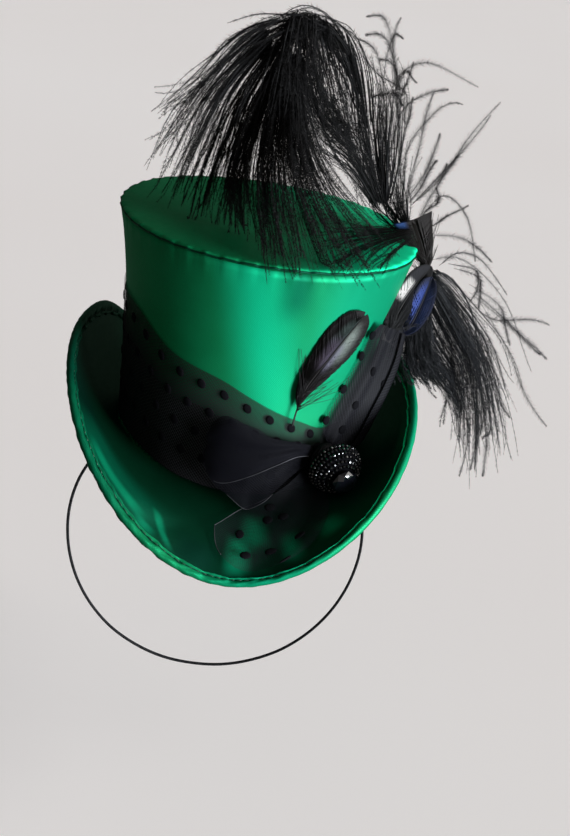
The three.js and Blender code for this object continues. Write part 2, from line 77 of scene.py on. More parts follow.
# Light: a low soft key from the right front that rakes along the satin, a weak wide fill from above, and a
# rim from the right, in a pale and dim room.
LIGHTS = [
    {"name": "key", "turn": 56, "rise": 1, "spread": 30, "strength": 9.4, "colour": (0.94, 1, 1.08)},
    {"name": "fill", "turn": 10, "rise": 30, "spread": 90, "strength": 0.25, "colour": (1, 0.95, 0.86)},
    {"name": "rim", "turn": 85, "rise": 38, "spread": 40, "strength": 1.1, "colour": (1, 0.98, 0.94)},
]
for row in LIGHTS:
    turn, rise = np.radians([row["turn"], row["rise"]])
    way = np.array([math.sin(turn) * math.cos(rise), -math.cos(turn) * math.cos(rise), math.sin(rise)])
    across = np.array([math.cos(turn), math.sin(turn), 0])
    placing = np.eye(4)
    placing[:3, 0] = across
    placing[:3, 1] = np.cross(way, across)
    placing[:3, 2] = way
    light_data = bpy.data.lights.new(row["name"], "SUN")
    light_data.angle = math.radians(row["spread"])
    light_data.energy = row["strength"]
    light_data.color = row["colour"]
    light = bpy.data.objects.new(row["name"], light_data)
    light.matrix_world = placing.T.tolist()
    bpy.context.collection.objects.link(light)
ROOM_COLOUR = (0.96, 0.9, 0.82, 1)
ROOM_STRENGTH = 0.12
room = bpy.data.worlds.new("room")
room.use_nodes = True
room.node_tree.nodes["Background"].inputs["Color"].default_value = ROOM_COLOUR
room.node_tree.nodes["Background"].inputs["Strength"].default_value = ROOM_STRENGTH
bpy.context.scene.world = room
bpy.context.scene.view_settings.view_transform = "Standard"


# Floor: a wide pale ground below the hat, which is held up and does not stand on it. It glows a little to
# stay plain and pale, and it neither shades nor tints the hat.
FLOOR_HEIGHT = -0.17
FLOOR_HALF = 30.0
FLOOR_GLOW = 0.34


class Level:
    """A number that changes over a surface: sums, products and tests of it add Math nodes."""

    def __init__(self, finish, socket):
        self.finish = finish
        self.socket = socket

    def math(self, operation, *others):
        """This level and the others put through one Math node."""
        values = dict(enumerate((self, *others)))
        return self.finish.node("Math", {"operation": operation}, values)

    def __add__(self, other):
        return self.math("ADD", other)

    def __sub__(self, other):
        return self.math("SUBTRACT", other)

    def __rsub__(self, other):
        return self.finish.node("Math", {"operation": "SUBTRACT"}, {0: other, 1: self})

    def __mul__(self, other):
        return self.math("MULTIPLY", other)

    def __lt__(self, other):
        return self.math("LESS_THAN", other)

    def __or__(self, other):
        return self.math("MAXIMUM", other)

    __radd__ = __add__
    __rmul__ = __mul__

    def band(self, low, high):
        """0 below low and 1 above high, with an eased step between them; low may be above high."""
        settings = {"interpolation_type": "SMOOTHSTEP"}
        return self.finish.node("MapRange", settings, {"Value": self, "From Min": low, "From Max": high})


class Finish:
    """A material of the hat. node() adds any shader node: its settings first, then its sockets."""

    def __init__(self, name):
        self.material = bpy.data.materials.new(name)
        self.material.use_nodes = True
        self.tree = self.material.node_tree
        self.tree.nodes.clear()

    def node(self, kind, settings=None, inputs=None, output=0):
        made = self.tree.nodes.new("ShaderNode" + kind)
        for key, value in (settings or {}).items():
            setattr(made, key, value)
        for key, value in (inputs or {}).items():
            if isinstance(value, Level):
                self.tree.links.new(value.socket, made.inputs[key])
            else:
                made.inputs[key].default_value = value
        return Level(self, made.outputs[output]) if made.outputs else None

    def mix(self, share, first, second):
        """The first colour where share is 0 and the second where it is 1."""
        return self.node("Mix", {"data_type": "RGBA"}, {0: share, 6: first, 7: second}, 2)

    def noise(self, scale, detail=2.0):
        """Soft cloudy noise about 0.5, in object space."""
        place = self.node("TexCoord", output=3)
        return self.node("TexNoise", None, {"Vector": place, "Scale": scale, "Detail": detail})

    def along_across(self):
        """The two numbers of the piece's own map."""
        split = self.node("SeparateXYZ", None, {0: self.node("UVMap")})
        return split, Level(self, split.socket.node.outputs[1])

    def bump(self, height, strength, distance):
        """A normal that leans as the height rises and falls."""
        return self.node("Bump", None, {"Height": height, "Strength": strength, "Distance": distance})

    def surface(self, **sockets):
        """Ends the material in a Principled shader with these sockets, underscores read as spaces."""
        inputs = {key.replace("_", " "): value for key, value in sockets.items()}
        shader = self.node("BsdfPrincipled", None, inputs)
        self.node("OutputMaterial", None, {"Surface": shader})
        return self


floor_mesh = bpy.data.meshes.new("floor")
floor_mesh.from_pydata(
    [(x * FLOOR_HALF, y * FLOOR_HALF, FLOOR_HEIGHT) for x, y in ((-1, -1), (1, -1), (1, 1), (-1, 1))],
    [], [(0, 1, 2, 3)])
floor = bpy.data.objects.new("floor", floor_mesh)
bpy.context.collection.objects.link(floor)
pale = Finish("pale_floor")
cloud = pale.noise(1.3)
pale_colour = pale.mix(cloud, (0.74, 0.70, 0.69, 1), (0.80, 0.78, 0.78, 1))
pale.surface(Base_Color=pale_colour, Roughness=0.9, Emission_Color=pale_colour, Emission_Strength=FLOOR_GLOW)
floor_mesh.materials.append(pale.material)
floor.visible_diffuse = False
floor.visible_glossy = False
floor.visible_shadow = False


# Elastic: a covered round elastic, 1.5 mm thick, sewn in under the brim's root at both sides.
# It hangs as one loop, and its cover is a fine braid.
ELASTIC_RADIUS = 0.00075
ELASTIC_RINGS = 364
ELASTIC_SIDES = 10
BRAID_TURNS = 260
ELASTIC_HALF = np.array([
    (55, 0, 3.5), (56.5, 0.4, -4), (60.5, 1, -12.5), (66, 1.8, -22.5), (70.8, 2.8, -34.5), (73.3, 3.8, -48),
    (73.2, 4.9, -62), (70.4, 6, -77), (64.6, 7.1, -92), (55.6, 8.2, -106), (43.6, 9.2, -118),
    (29.5, 10, -126.5), (15, 10.5, -131.5), (0, 10.7, -133),
]) / 1000


def faces_of(loops, sizes, points, name, smooth):
    """A mesh from points and from the corners of its faces, which follow each other."""
    mesh = bpy.data.meshes.new(name)
    mesh.vertices.add(len(points))
    mesh.vertices.foreach_set("co", np.ascontiguousarray(points, np.float32).ravel())
    mesh.loops.add(len(loops))
    mesh.loops.foreach_set("vertex_index", loops.astype(np.int32))
    mesh.polygons.add(len(sizes))
    mesh.polygons.foreach_set("loop_start", np.concatenate([[0], np.cumsum(sizes)[:-1]]).astype(np.int32))
    mesh.polygons.foreach_set("use_smooth", np.full(len(sizes), smooth))
    mesh.update(calc_edges=True)
    return mesh


def piece(name, points, faces, finish, slot, nodes=(), map_corners=None, map_points=None, smooth=True):
    """A piece of the hat from an array of points and arrays of faces, with its own map given by corner or
    by point. It rides on the hat and stands for the named nodes."""
    points = np.asarray(points, float).reshape(-1, 3)
    loops = np.concatenate([part.ravel() for part in faces])
    sizes = np.concatenate([np.full(len(part), part.shape[1]) for part in faces])
    mesh = faces_of(loops, sizes, points, name, smooth)
    if map_points is not None:
        map_corners = np.asarray(map_points, float).reshape(-1, 2)[loops]
    if map_corners is not None:
        layer = mesh.uv_layers.new(name="map")
        layer.data.foreach_set("uv", np.ascontiguousarray(map_corners, np.float32).ravel())
    mesh.materials.append(finish.material)
    made = bpy.data.objects.new(name, mesh)
    bpy.context.collection.objects.link(made)
    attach(made, "root")
    if nodes:
        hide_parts(*nodes)
    return made


def grid(rows, columns, close_rows=False, close_columns=False, turned=False):
    """Quads of a grid of points that are numbered row by row, and the map of each corner: its share of the
    columns and of the rows. A closed side joins the last line to the first, and turned faces look the other
    way."""
    i, j = np.meshgrid(
        np.arange(rows if close_rows else rows - 1),
        np.arange(columns if close_columns else columns - 1),
        indexing="ij",
    )
    corner_row = np.stack([i, i, i + 1, i + 1], -1)
    corner_column = np.stack([j, j + 1, j + 1, j], -1)
    quads = (corner_row % rows) * columns + corner_column % columns
    shares = np.stack(
        [corner_column / (columns if close_columns else columns - 1),
         corner_row / (rows if close_rows else rows - 1)], -1)
    order = [3, 2, 1, 0] if turned else [0, 1, 2, 3]
    return quads[..., order].reshape(-1, 4), shares[..., order, :].reshape(-1, 2)


def unit(vectors):
    """Vectors divided by their own lengths."""
    return vectors / np.linalg.norm(vectors, axis=-1, keepdims=True)


def through(rows, share):
    """Values of a table at shares of its length from 0 to 1: between two rows runs a cubic that leaves and
    arrives along the lines between the neighbouring rows."""
    rows = np.asarray(rows, float)
    last = len(rows) - 1
    place = np.clip(np.asarray(share, float), 0, 1) * last
    i = np.minimum(place.astype(int), last - 1)
    t = (place - i).reshape(place.shape + (1,) * (rows.ndim - 1))
    a, b, c, d = (rows[np.clip(i + step, 0, last)] for step in (-1, 0, 1, 2))
    return b + 0.5 * t * (c - a + t * (2 * a - 5 * b + 4 * c - d + t * (3 * (b - c) + d - a)))


def circle(sides):
    """Evenly spaced angles, once round."""
    return np.linspace(0, 2 * math.pi, sides, endpoint=False)


def tube(path, radius, sides, reference):
    """Rings square to a path: each starts at the way that is square to both the path and a reference."""
    way = unit(np.gradient(path, axis=0))
    side = unit(np.cross(way, reference))
    over = np.cross(side, way)
    angle = circle(sides)[None, :, None]
    radius = np.broadcast_to(radius, (len(path), sides))[..., None]
    return path[:, None] + radius * (np.cos(angle) * side[:, None] + np.sin(angle) * over[:, None])


def caps(rows, columns, turned=False):
    """Faces that close the first and the last row of a grid; turned ones look the other way."""
    first = np.arange(columns)[None, ::-1]
    last = (rows - 1) * columns + np.arange(columns)[None, :]
    return [first[:, ::-1], last[:, ::-1]] if turned else [first, last]


def tube_faces(rings, sides):
    """Quads along a tube, and a face that closes each end."""
    quads, shares = grid(rings, sides, close_columns=True)
    ends = np.repeat([[0.0, 0.0], [1.0, 1.0]], sides, axis=0)
    return [quads, *caps(rings, sides)], np.concatenate([shares, ends])


elastic_route = np.concatenate([ELASTIC_HALF, ELASTIC_HALF[-2::-1] * (-1, 1, 1)])
elastic_path = through(elastic_route, np.linspace(0, 1, ELASTIC_RINGS))
elastic_points = tube(elastic_path, ELASTIC_RADIUS, ELASTIC_SIDES, np.array([0, 1.0, 0]))
elastic_faces, elastic_map = tube_faces(ELASTIC_RINGS, ELASTIC_SIDES)
braid = Finish("black_elastic")
around, along = braid.along_across()
strand = (around * 4 + along * BRAID_TURNS).math("SINE") | (around * 4 - along * BRAID_TURNS).math("SINE")
braid_colour = braid.mix(strand, (0.002, 0.002, 0.0025, 1), (0.006, 0.006, 0.0065, 1))
braid_bump = braid.bump(strand, 0.5, 0.0002)
braid.surface(Base_Color=braid_colour, Roughness=0.7, Normal=braid_bump, Specular_IOR_Level=0.12)
elastic = piece(
    "elastic_loop", elastic_points, elastic_faces, braid, "black_elastic", ["elastic"], elastic_map)


# Brim: stiffened cloth under satin, 2 mm thick, that is rolled up at both sides and dips at the front.
# Its slope grows from root to edge, and its root seam rises and falls with it.
CROWN_HEIGHT = 0.111
BASE_RADIUS = 0.056
TIP_RADIUS = 0.070
CROWN_FLARE = 1.85
SEAM_SADDLE = 0.005
BRIM_WIDTH = 0.051
BRIM_MARGIN = 0.003
BRIM_HALF = 0.001
ROOT_SLOPE = 0.5
BRIM_CURL = [(0, 29.4, 0), (1, -14.7, 2.6), (2, -40.7, 0.15), (3, 1.2, -1.1), (4, -5.4, 0)]
BRIM_EDGE = 0.0488
BRIM_ROWS = 26
BRIM_COLUMNS = 300
CREASES = [
    (-40, 0.034, 16, 0.0035, 180, 0.0007), (-30, 0.039, 5, 0.009, 400, 0.0006),
    (-21, 0.038, 3.5, 0.010, 600, -0.0006), (-9, 0.040, 4, 0.008, 200, 0.0005),
    (5, 0.038, 3.5, 0.009, -300, 0.0005), (48, 0.038, 5, 0.008, 200, 0.0004),
    (118, 0.038, 5, 0.008, 300, 0.0005), (165, 0.040, 4, 0.008, -300, 0.0005),
    (-150, 0.038, 5, 0.009, 200, 0.0005), (-95, 0.036, 6, 0.007, 200, 0.0004),
]


def all_round(columns):
    """Evenly spaced turns once round the hat, as one row that starts at the back."""
    return np.linspace(-180, 180, columns, endpoint=False)[None, :]


def around_crown(radius, turn, height):
    """Points at a radius and height, at a turn round the crown's axis."""
    angle = np.radians(turn)
    return np.stack(np.broadcast_arrays(radius * np.sin(angle), -radius * np.cos(angle), height), -1)


def seam_height(turn):
    """Height of the base seam, a saddle: a cosine that goes twice round, low at front and back."""
    return -SEAM_SADDLE * np.cos(2 * np.radians(turn))


def brim_curl(turn):
    """Slope of the brim's edge in degrees: a sum of cosine and sine waves round the crown."""
    angle = np.radians(turn)
    return sum(even * np.cos(wave * angle) + odd * np.sin(wave * angle) for wave, even, odd in BRIM_CURL)


def brim_middle(turn, reach):
    """The brim's middle surface: reach runs out from the crown along a slope that grows with it."""
    share = np.maximum(reach, 0) / BRIM_WIDTH
    slope = np.where(reach < 0, 0, np.radians(brim_curl(turn) * (ROOT_SLOPE + (1 - ROOT_SLOPE) * share)))
    return around_crown(BASE_RADIUS + reach * np.cos(slope), turn, seam_height(turn) + reach * np.sin(slope))


def on_brim(turn, reach, off):
    """A point off the brim's middle surface along its normal."""
    turn, reach, off = np.broadcast_arrays(np.asarray(turn, float), reach, off)
    step_out = brim_middle(turn, reach + 1e-5) - brim_middle(turn, reach - 1e-5)
    step_round = brim_middle(turn + 1e-2, reach) - brim_middle(turn - 1e-2, reach)
    return brim_middle(turn, reach) + unit(np.cross(step_out, step_round)) * off[..., None]


def brim_crease(turn, reach):
    """Soft creases of the satin: each is a bell across and along its line, which leans with the reach. A
    row gives its turn and reach, its half sizes along both, its lean in degrees a metre, and its height."""
    lift = np.zeros(np.broadcast(turn, reach).shape)
    for middle, place, half_turn, half_reach, lean, height in CREASES:
        beyond = reach - place
        aside = (turn - middle + 180) % 360 - 180 + beyond * lean
        lift = lift + height * np.exp(-(aside / half_turn) ** 2 - (beyond / half_reach) ** 2)
    return lift


brim_turn = all_round(BRIM_COLUMNS)
brim_out = np.linspace(-BRIM_MARGIN, BRIM_EDGE, BRIM_ROWS)
brim_reach = np.concatenate([brim_out, brim_out[::-1]])[:, None]
brim_off = np.repeat([BRIM_HALF, -BRIM_HALF], BRIM_ROWS)[:, None]
brim_points = on_brim(brim_turn, brim_reach, brim_off + brim_crease(brim_turn, brim_reach))
brim_quads, brim_map = grid(2 * BRIM_ROWS, BRIM_COLUMNS, True, True, turned=True)


SATIN_DARK = (0.0035, 0.150, 0.050)
SATIN_LIGHT = (0.005, 0.200, 0.072)
# The green of painted highlights and painted shade.
PAINTED_LIGHT_GREEN = (0.0016, 0.175, 0.082)


def scaled(colour, by):
    """A colour multiplied by a number, opaque."""
    return (*(channel * by for channel in colour), 1)


def satin(name, threads_round, threads_up, painted_shade_scale=1.0, seam_groove_shade=None, painted_light_rows=()):
    """Satin: a deep green with a tinted gloss, a fine grain of floating threads, and a darker line of
    painted shade along a seam groove at one share of the map, given as its place and half width. The
    painted shade scale multiplies the whole green: below 1 it is painted shade, above 1 painted light.
    Each row of painted light is a soft patch where the green is scaled by its tone, a painted highlight
    above 1 and painted shade below it: turn, half width and the share of it that is full, place on the
    map's rows, half height, lean, tone and strength."""
    made = Finish(name)
    u, v = made.along_across()
    floats = (u * threads_round).math("SINE") * (v * threads_up + made.noise(900) * 3).math("SINE")
    mottle = made.noise(60, 3)
    colour = made.mix(mottle, scaled(SATIN_DARK, painted_shade_scale), scaled(SATIN_LIGHT, painted_shade_scale))
    # Painted light: each row scales the green in a soft patch, brighter as a highlight, darker as shade.
    for turn, half_turn, core, place, half_place, lean, tone, strength in painted_light_rows:
        aside = u + (v - place) * lean - (turn + 180) / 360
        painted_patch = aside.math("ABSOLUTE").band(half_turn / 360, core * half_turn / 360)
        painted_patch = painted_patch * (v - place).math("ABSOLUTE").band(half_place, 0.2 * half_place)
        colour = made.mix(painted_patch * strength, colour, scaled(PAINTED_LIGHT_GREEN, painted_shade_scale * tone))
    # Painted shade: the seam groove is darkened.
    if seam_groove_shade:
        groove_shade = (v - seam_groove_shade[0]).math("ABSOLUTE").band(seam_groove_shade[1], 0.4 * seam_groove_shade[1])
        colour = made.mix(groove_shade * 0.93, colour, (0.001, 0.012, 0.006, 1))
    rough = 0.44 + made.noise(350) * 0.1
    grain = made.bump(floats + made.noise(1400) * 2, 0.16, 0.0003)
    return made.surface(
        Base_Color=colour, Roughness=rough, Normal=grain, Metallic=0.45, Specular_Tint=(0.1, 1, 0.7, 1),
        Specular_IOR_Level=0.4)


# Painted light on the brim: bright patches along the rolls and under the tail are painted highlights, and the
# dim patches at the left and the front are painted shade.
BRIM_PAINTED_LIGHT = [
    (-76, 32, 0.5, 0.38, 0.20, 0, 0.45, 1),
    (46, 22, 0.4, 0.30, 0.20, 0, 1.0, 1),
    (92, 36, 0.4, 0.28, 0.26, 0, 4.6, 1),
    (-38, 24, 0.3, 0.37, 0.13, 0, 3.4, 1),
    (-9, 8, 0.3, 0.40, 0.10, 0, 0.65, 0.8),
    (66, 16, 0.3, 0.425, 0.06, 0, 6, 0.9),
    (-36, 13, 0.4, 0.398, 0.034, 0, 10, 1),
    (-23.5, 4, 0, 0.425, 0.03, 0, 9, 0.9),
    (-19.5, 2, 0.1, 0.383, 0.075, -0.169, 9, 0.9),
    (-21.5, 2.6, 0, 0.345, 0.04, -0.169, 8, 0.8),
    (29.5, 5, 0, 0.355, 0.07, 0, 9, 0.8),
    (3, 5, 0, 0.36, 0.12, 0, 19, 1),
    (8.5, 6, 0, 0.25, 0.12, 0, 14, 1),
    (18.5, 4, 0, 0.36, 0.10, 0, 13, 0.8),
]
# The brim's green is also scaled far down as painted shade.
brim_satin = satin("brim_satin", 4200, 900, 0.09, None, BRIM_PAINTED_LIGHT)
piece("brim_cloth", brim_points, [brim_quads], brim_satin, "green_satin", ["brim"], brim_map)


# Brim edge: the satin is turned over a wire at the edge and stitched down, so the edge is a full roll
# with a groove and a thin ridge inside it. The turning puckers along the stitches.
HEM_SECTION = np.array([
    (44.2, 1.05), (44.5, 1.65), (45.0, 1.98), (45.4, 1.78), (45.8, 1.3), (46.3, 1.12), (46.8, 1.3),
    (47.3, 1.55), (48, 1.7), (48.8, 1.7), (49.7, 1.4), (50.35, 0.85), (50.6, 0), (50.35, -0.85),
    (49.7, -1.4), (48.8, -1.65), (47.4, -1.6), (46.3, -1.4), (45.7, -1.3), (45.1, -1.6), (44.6, -1.5),
    (44.2, -1.05),
]) / 1000
HEM_COLUMNS = 640
HEM_EDGE = 0.0506
NARROW_TURN, NARROW_HALF, NARROW_BY = 22, 40, 0.48
GROOVE_HALF = 0.0018
RIDGE_REACH, RIDGE_HALF = 0.0446, 0.001
CRINKLE_TURN, CRINKLE_HALF = -20, 35
STITCH_REACH = 0.0462
STITCH_COUNT = 190
STITCH_STEPS = 5
STITCH_SHARE = 0.36
STITCH_RISE, STITCH_BULGE = 0.0013, 0.00028
STITCH_HALF = 0.00017
RIPPLES = [(61, 1500, 0.00014), (103, -2100, 0.0001)]
PUCKERS = [(151, 0.00006, 0.3), (97, 0.00012, 1.1), (43, 0.00024, 2.0), (211, 0.00004, 0.7)]


def hem_place(turn, reach):
    """Reach of a point of the hem: the hem is about half as wide at the front right, so the distance from the
    outer edge is multiplied by a share that dips there as a bell curve of the turn."""
    share = 1 - NARROW_BY * np.exp(-((turn - NARROW_TURN) / NARROW_HALF) ** 2)
    return HEM_EDGE - (HEM_EDGE - reach) * share


def pucker(turn):
    """Uneven waves round the hat: a sum of sines."""
    return sum(height * np.sin(np.radians(turn) * count + start) for count, height, start in PUCKERS)


hem_turn = all_round(HEM_COLUMNS)
hem_reach, hem_off = HEM_SECTION[:, :1], HEM_SECTION[:, 1:]
hem_groove = np.exp(-((hem_reach - STITCH_REACH) / GROOVE_HALF) ** 2)
hem_ripple = sum(
    height * np.sin(np.radians(hem_turn) * count + hem_reach * slant) for count, slant, height in RIPPLES)
hem_crinkled = 0.35 + 2 * np.exp(-((hem_turn - CRINKLE_TURN) / CRINKLE_HALF) ** 2)
hem_wave = 1.6 * pucker(hem_turn) * hem_groove + hem_ripple * (1 - hem_groove) * hem_crinkled
hem_wave = hem_wave * np.sign(hem_off)
hem_slide = 1.5 * pucker(hem_turn + 40) * np.exp(-((hem_reach - RIDGE_REACH) / RIDGE_HALF) ** 2)
hem_lies = hem_place(hem_turn, hem_reach + hem_slide)
hem_points = on_brim(hem_turn, hem_lies, hem_off + hem_wave + brim_crease(hem_turn, hem_lies))
hem_quads, hem_map = grid(len(HEM_SECTION), HEM_COLUMNS, True, True, turned=True)
# Painted light on the edge roll: painted shadow of the crown at the left, painted shade at the front left,
# painted highlights at the front and the right, and a bright painted line on the ridge at the right.
HEM_PAINTED_LIGHT = [
    (-130, 84, 0.8, 0.5, 3, 0, 0.22, 1),
    (-42, 26, 0.2, 0.5, 3, 0, 0.5, 0.8),
    (10, 26, 0, 0.5, 3, 0, 1.4, 1),
    (82, 45, 0.5, 0.5, 3, 0, 1.5, 1),
    (70, 60, 0.5, 0.09, 0.07, 0, 8, 1),
]
# Painted shade: a darker line along the groove where the stitches lie.
HEM_SEAM_SHADE = (5 / len(HEM_SECTION), 0.05)
hem_satin = satin("edge_satin", 4200, 160, 0.9, HEM_SEAM_SHADE, HEM_PAINTED_LIGHT)
piece("brim_edge", hem_points, [hem_quads], hem_satin, "green_satin", ["brim_binding"], hem_map)

stitch_turn = all_round(STITCH_COUNT).T
stitch_step = np.linspace(-1, 1, STITCH_STEPS)[None, :]
stitch_rise = STITCH_RISE + STITCH_BULGE * (1 - stitch_step ** 2)
stitch_along = stitch_turn + stitch_step * STITCH_SHARE * 360 / STITCH_COUNT
stitch_path = on_brim(stitch_along, hem_place(stitch_along, STITCH_REACH), stitch_rise)


def copies(faces, count, size):
    """The faces of a shape for a number of copies of it, whose points follow each other, size to a copy."""
    return (np.arange(count)[:, None, None] * size + faces).reshape(-1, faces.shape[1])


def strands(paths, across, half_width, half_height):
    """Fine three-sided strands: an array of paths, each with a triangle carried along it that is wide along
    across and high square to it, and closed at both ends. Returns points and faces."""
    count, rings = paths.shape[:2]
    way = unit(np.gradient(paths, axis=1))
    over = unit(np.cross(way, np.broadcast_to(across, paths.shape)))
    side = np.cross(over, way)
    half_width = np.broadcast_to(half_width, (count, rings))[..., None]
    half_height = np.broadcast_to(half_height, (count, rings))[..., None]
    low = paths - over * half_height * 0.5
    points = np.stack([low - side * half_width, low + side * half_width, paths + over * half_height], 2)
    quads, _ = grid(rings, 3, close_columns=True)
    ends = np.concatenate(caps(rings, 3))
    return points, [copies(quads, count, 3 * rings), copies(ends, count, 3 * rings)]


thread = Finish("green_thread")
twist = thread.noise(2500)
thread.surface(Base_Color=thread.mix(twist, (0.001, 0.03, 0.014, 1), (0.002, 0.07, 0.03, 1)), Roughness=0.5)
piece("brim_stitches", *strands(stitch_path, upright, STITCH_HALF, STITCH_HALF), thread, "green_satin")


# Crown: a hollow wall of stiffened cloth under satin that widens towards the tip. Its foot is sewn to
# the brim's root, and its top gathers a little into the tip seam.
CROWN_WALL = 0.002
CROWN_FOOT = 0.0017
CROWN_TOP = 0.1087
CROWN_ROWS = 30
CROWN_COLUMNS = 300
GATHER_SHARE = 0.05
CROWN_SLACK = 0.00025


def crown_radius(height):
    """Radius of the crown's face, which grows from base to tip by a power of the height."""
    share = np.maximum(height, 0) / CROWN_HEIGHT
    return BASE_RADIUS + (TIP_RADIUS - BASE_RADIUS) * share ** CROWN_FLARE


crown_turn = all_round(CROWN_COLUMNS)
crown_share = np.linspace(0, 1, CROWN_ROWS)
crown_share = np.concatenate([crown_share, crown_share[::-1]])[:, None]
crown_inset = np.repeat([0, CROWN_WALL], CROWN_ROWS)[:, None]
crown_foot = seam_height(crown_turn) + CROWN_FOOT
crown_z = crown_foot + (CROWN_TOP - crown_foot) * crown_share
gather = 0.9 * pucker(crown_turn) * np.exp(-((1 - crown_share) / GATHER_SHARE) ** 2)
slack = CROWN_SLACK * np.sin(np.radians(crown_turn) * 5 + 7 * crown_share) * np.sin(math.pi * crown_share)
crown_points = around_crown(crown_radius(crown_z) - crown_inset + gather + slack, crown_turn, crown_z)
crown_quads, crown_map = grid(2 * CROWN_ROWS, CROWN_COLUMNS, True, True)
# Painted light on the crown: a bright painted highlight band at the front that leans with the height, a
# painted shadow beside it, and a brighter painted patch at the right.
CROWN_PAINTED_LIGHT = [
    (-5, 21, 0, 0.45, 0.45, 0.15, 2.3, 1),
    (11, 10, 0, 0.45, 0.09, 0, 0.6, 0.8),
    (48, 36, 0.3, 0.44, 0.4, 0, 1.15, 1),
]
crown_satin = satin("crown_satin", 2600, 1500, 1.0, None, CROWN_PAINTED_LIGHT)
piece("crown_cloth", crown_points, [crown_quads], crown_satin, "green_satin", ["crown_side"], crown_map)


# Tip: a disc of the same satin, seamed to the wall. The seam sits in a narrow groove round the edge and
# puckers slightly, and the groove is painted darker as shade.
TIP_SECTION = np.array([
    (0.01, 111.5), (12, 111.5), (24, 111.45), (36, 111.4), (48, 111.3), (58, 111.25), (64, 111.2),
    (67.5, 111.1), (68.9, 110.95), (69.4, 110.65), (69.65, 110.3), (69.8, 110.05), (69.95, 110.1),
    (70.1, 110.05), (70.2, 109.8), (70.2, 109.5), (70.05, 109.15), (69.7, 108.9), (69, 109), (60, 109),
    (40, 109), (20, 109), (0.01, 109),
]) / 1000
TIP_FACE_ROWS = 17
TIP_COLUMNS = 420
TIP_SEAM, TIP_SEAM_HALF = 0.0699, 0.0011
TIP_EASE = 0.00035
tip_turn = all_round(TIP_COLUMNS)
tip_radius, tip_height = TIP_SECTION[:, :1], TIP_SECTION[:, 1:]
tip_face = (np.arange(len(TIP_SECTION)) < TIP_FACE_ROWS)[:, None]
tip_wave = pucker(tip_turn) * np.exp(-((tip_radius - TIP_SEAM) / TIP_SEAM_HALF) ** 2) * tip_face
tip_ease = TIP_EASE * np.sin(np.radians(tip_turn) * 3 + 1) * (tip_radius / TIP_RADIUS) ** 2 * tip_face
tip_points = around_crown(tip_radius + tip_wave, tip_turn, tip_height + tip_wave + tip_ease)
tip_quads, tip_map = grid(len(TIP_SECTION), TIP_COLUMNS, close_columns=True, turned=True)
tip_caps = caps(len(TIP_SECTION), TIP_COLUMNS, turned=True)
cap_map = np.concatenate([np.zeros((TIP_COLUMNS, 2)), np.ones((TIP_COLUMNS, 2))])
# Painted light on the tip: its right end is painted bright, and its green is scaled up a little to lighten
# the plume's shadow.
TIP_PAINTED_LIGHT = [(95, 100, 0.3, 0.32, 0.28, 0, 5, 1)]
# Painted shade: a darker line in the seam groove.
TIP_GROOVE_SHADE = (13.4 / (len(TIP_SECTION) - 1), 0.18)
tip_satin = satin("tip_satin", 2600, 500, 1.15, TIP_GROOVE_SHADE, TIP_PAINTED_LIGHT)
tip_map = np.concatenate([tip_map, cap_map])
piece("crown_top", tip_points, [tip_quads, *tip_caps], tip_satin, "green_satin", ["crown_tip"], tip_map)


# Band folds: the lower layers of the net band, gathered round the foot of the crown and caught under the
# bow. Several layers of black net lie on each other there, so they are nearly opaque.
FOOT_CLEARANCE = 0.0016
FOOT_REACH = 0.004
FOOT_SHARE = 0.15
FOLDS_SHARE = 0.66
FOLDS_ROWS = 36
FOLDS_OFF, FOLDS_HEIGHT = 0.0007, 0.00025
BAND_COLUMNS = 280
BAND_TOP = np.array([
    (-180, 74), (-120, 74), (-64, 70), (-38, 57.5), (-13, 51), (1, 44.5), (14, 38.5), (26, 34), (40, 29.5),
    (52, 34), (64, 52), (76, 64), (100, 72),
])


def band_top(turn):
    """Height of the band's upper edge: cubics through the table, all the way round."""
    turns = np.concatenate([BAND_TOP[:, 0] + lap for lap in (-360, 0, 360)])
    heights = np.tile(BAND_TOP[:, 1] / 1000, 3)
    slopes = (np.roll(heights, -1) - np.roll(heights, 1)) / (np.roll(turns, -1) - np.roll(turns, 1))
    i = np.searchsorted(turns, turn, side="right") - 1
    span = turns[i + 1] - turns[i]
    t = (turn - turns[i]) / span
    stay = 2 * t ** 3 - 3 * t ** 2 + 1
    pull = (t ** 3 - 2 * t ** 2 + t) * slopes[i] + (t ** 3 - t ** 2) * slopes[i + 1]
    return heights[i] * stay + heights[i + 1] * (1 - stay) + pull * span


def band_foot(turn):
    """Height of the band's lower edge, which keeps clear of the brim's rising root."""
    slope = np.radians(brim_curl(turn) * (ROOT_SLOPE + (1 - ROOT_SLOPE) * FOOT_SHARE))
    return seam_height(turn) + FOOT_CLEARANCE + FOOT_REACH * np.tan(np.maximum(slope, 0))


def on_crown(turn, height, off):
    """Points at a turn and a height, straight out from the crown's face by off."""
    return around_crown(crown_radius(height) + off, turn, height)


def band(share_round, share_up, off):
    """The band's surface: shares of the way round and of the height, and how far off the crown it lies."""
    turn = 360 * share_round - 180
    low, high = band_foot(turn), band_top(turn)
    return on_crown(turn, low + (high - low) * share_up, off)


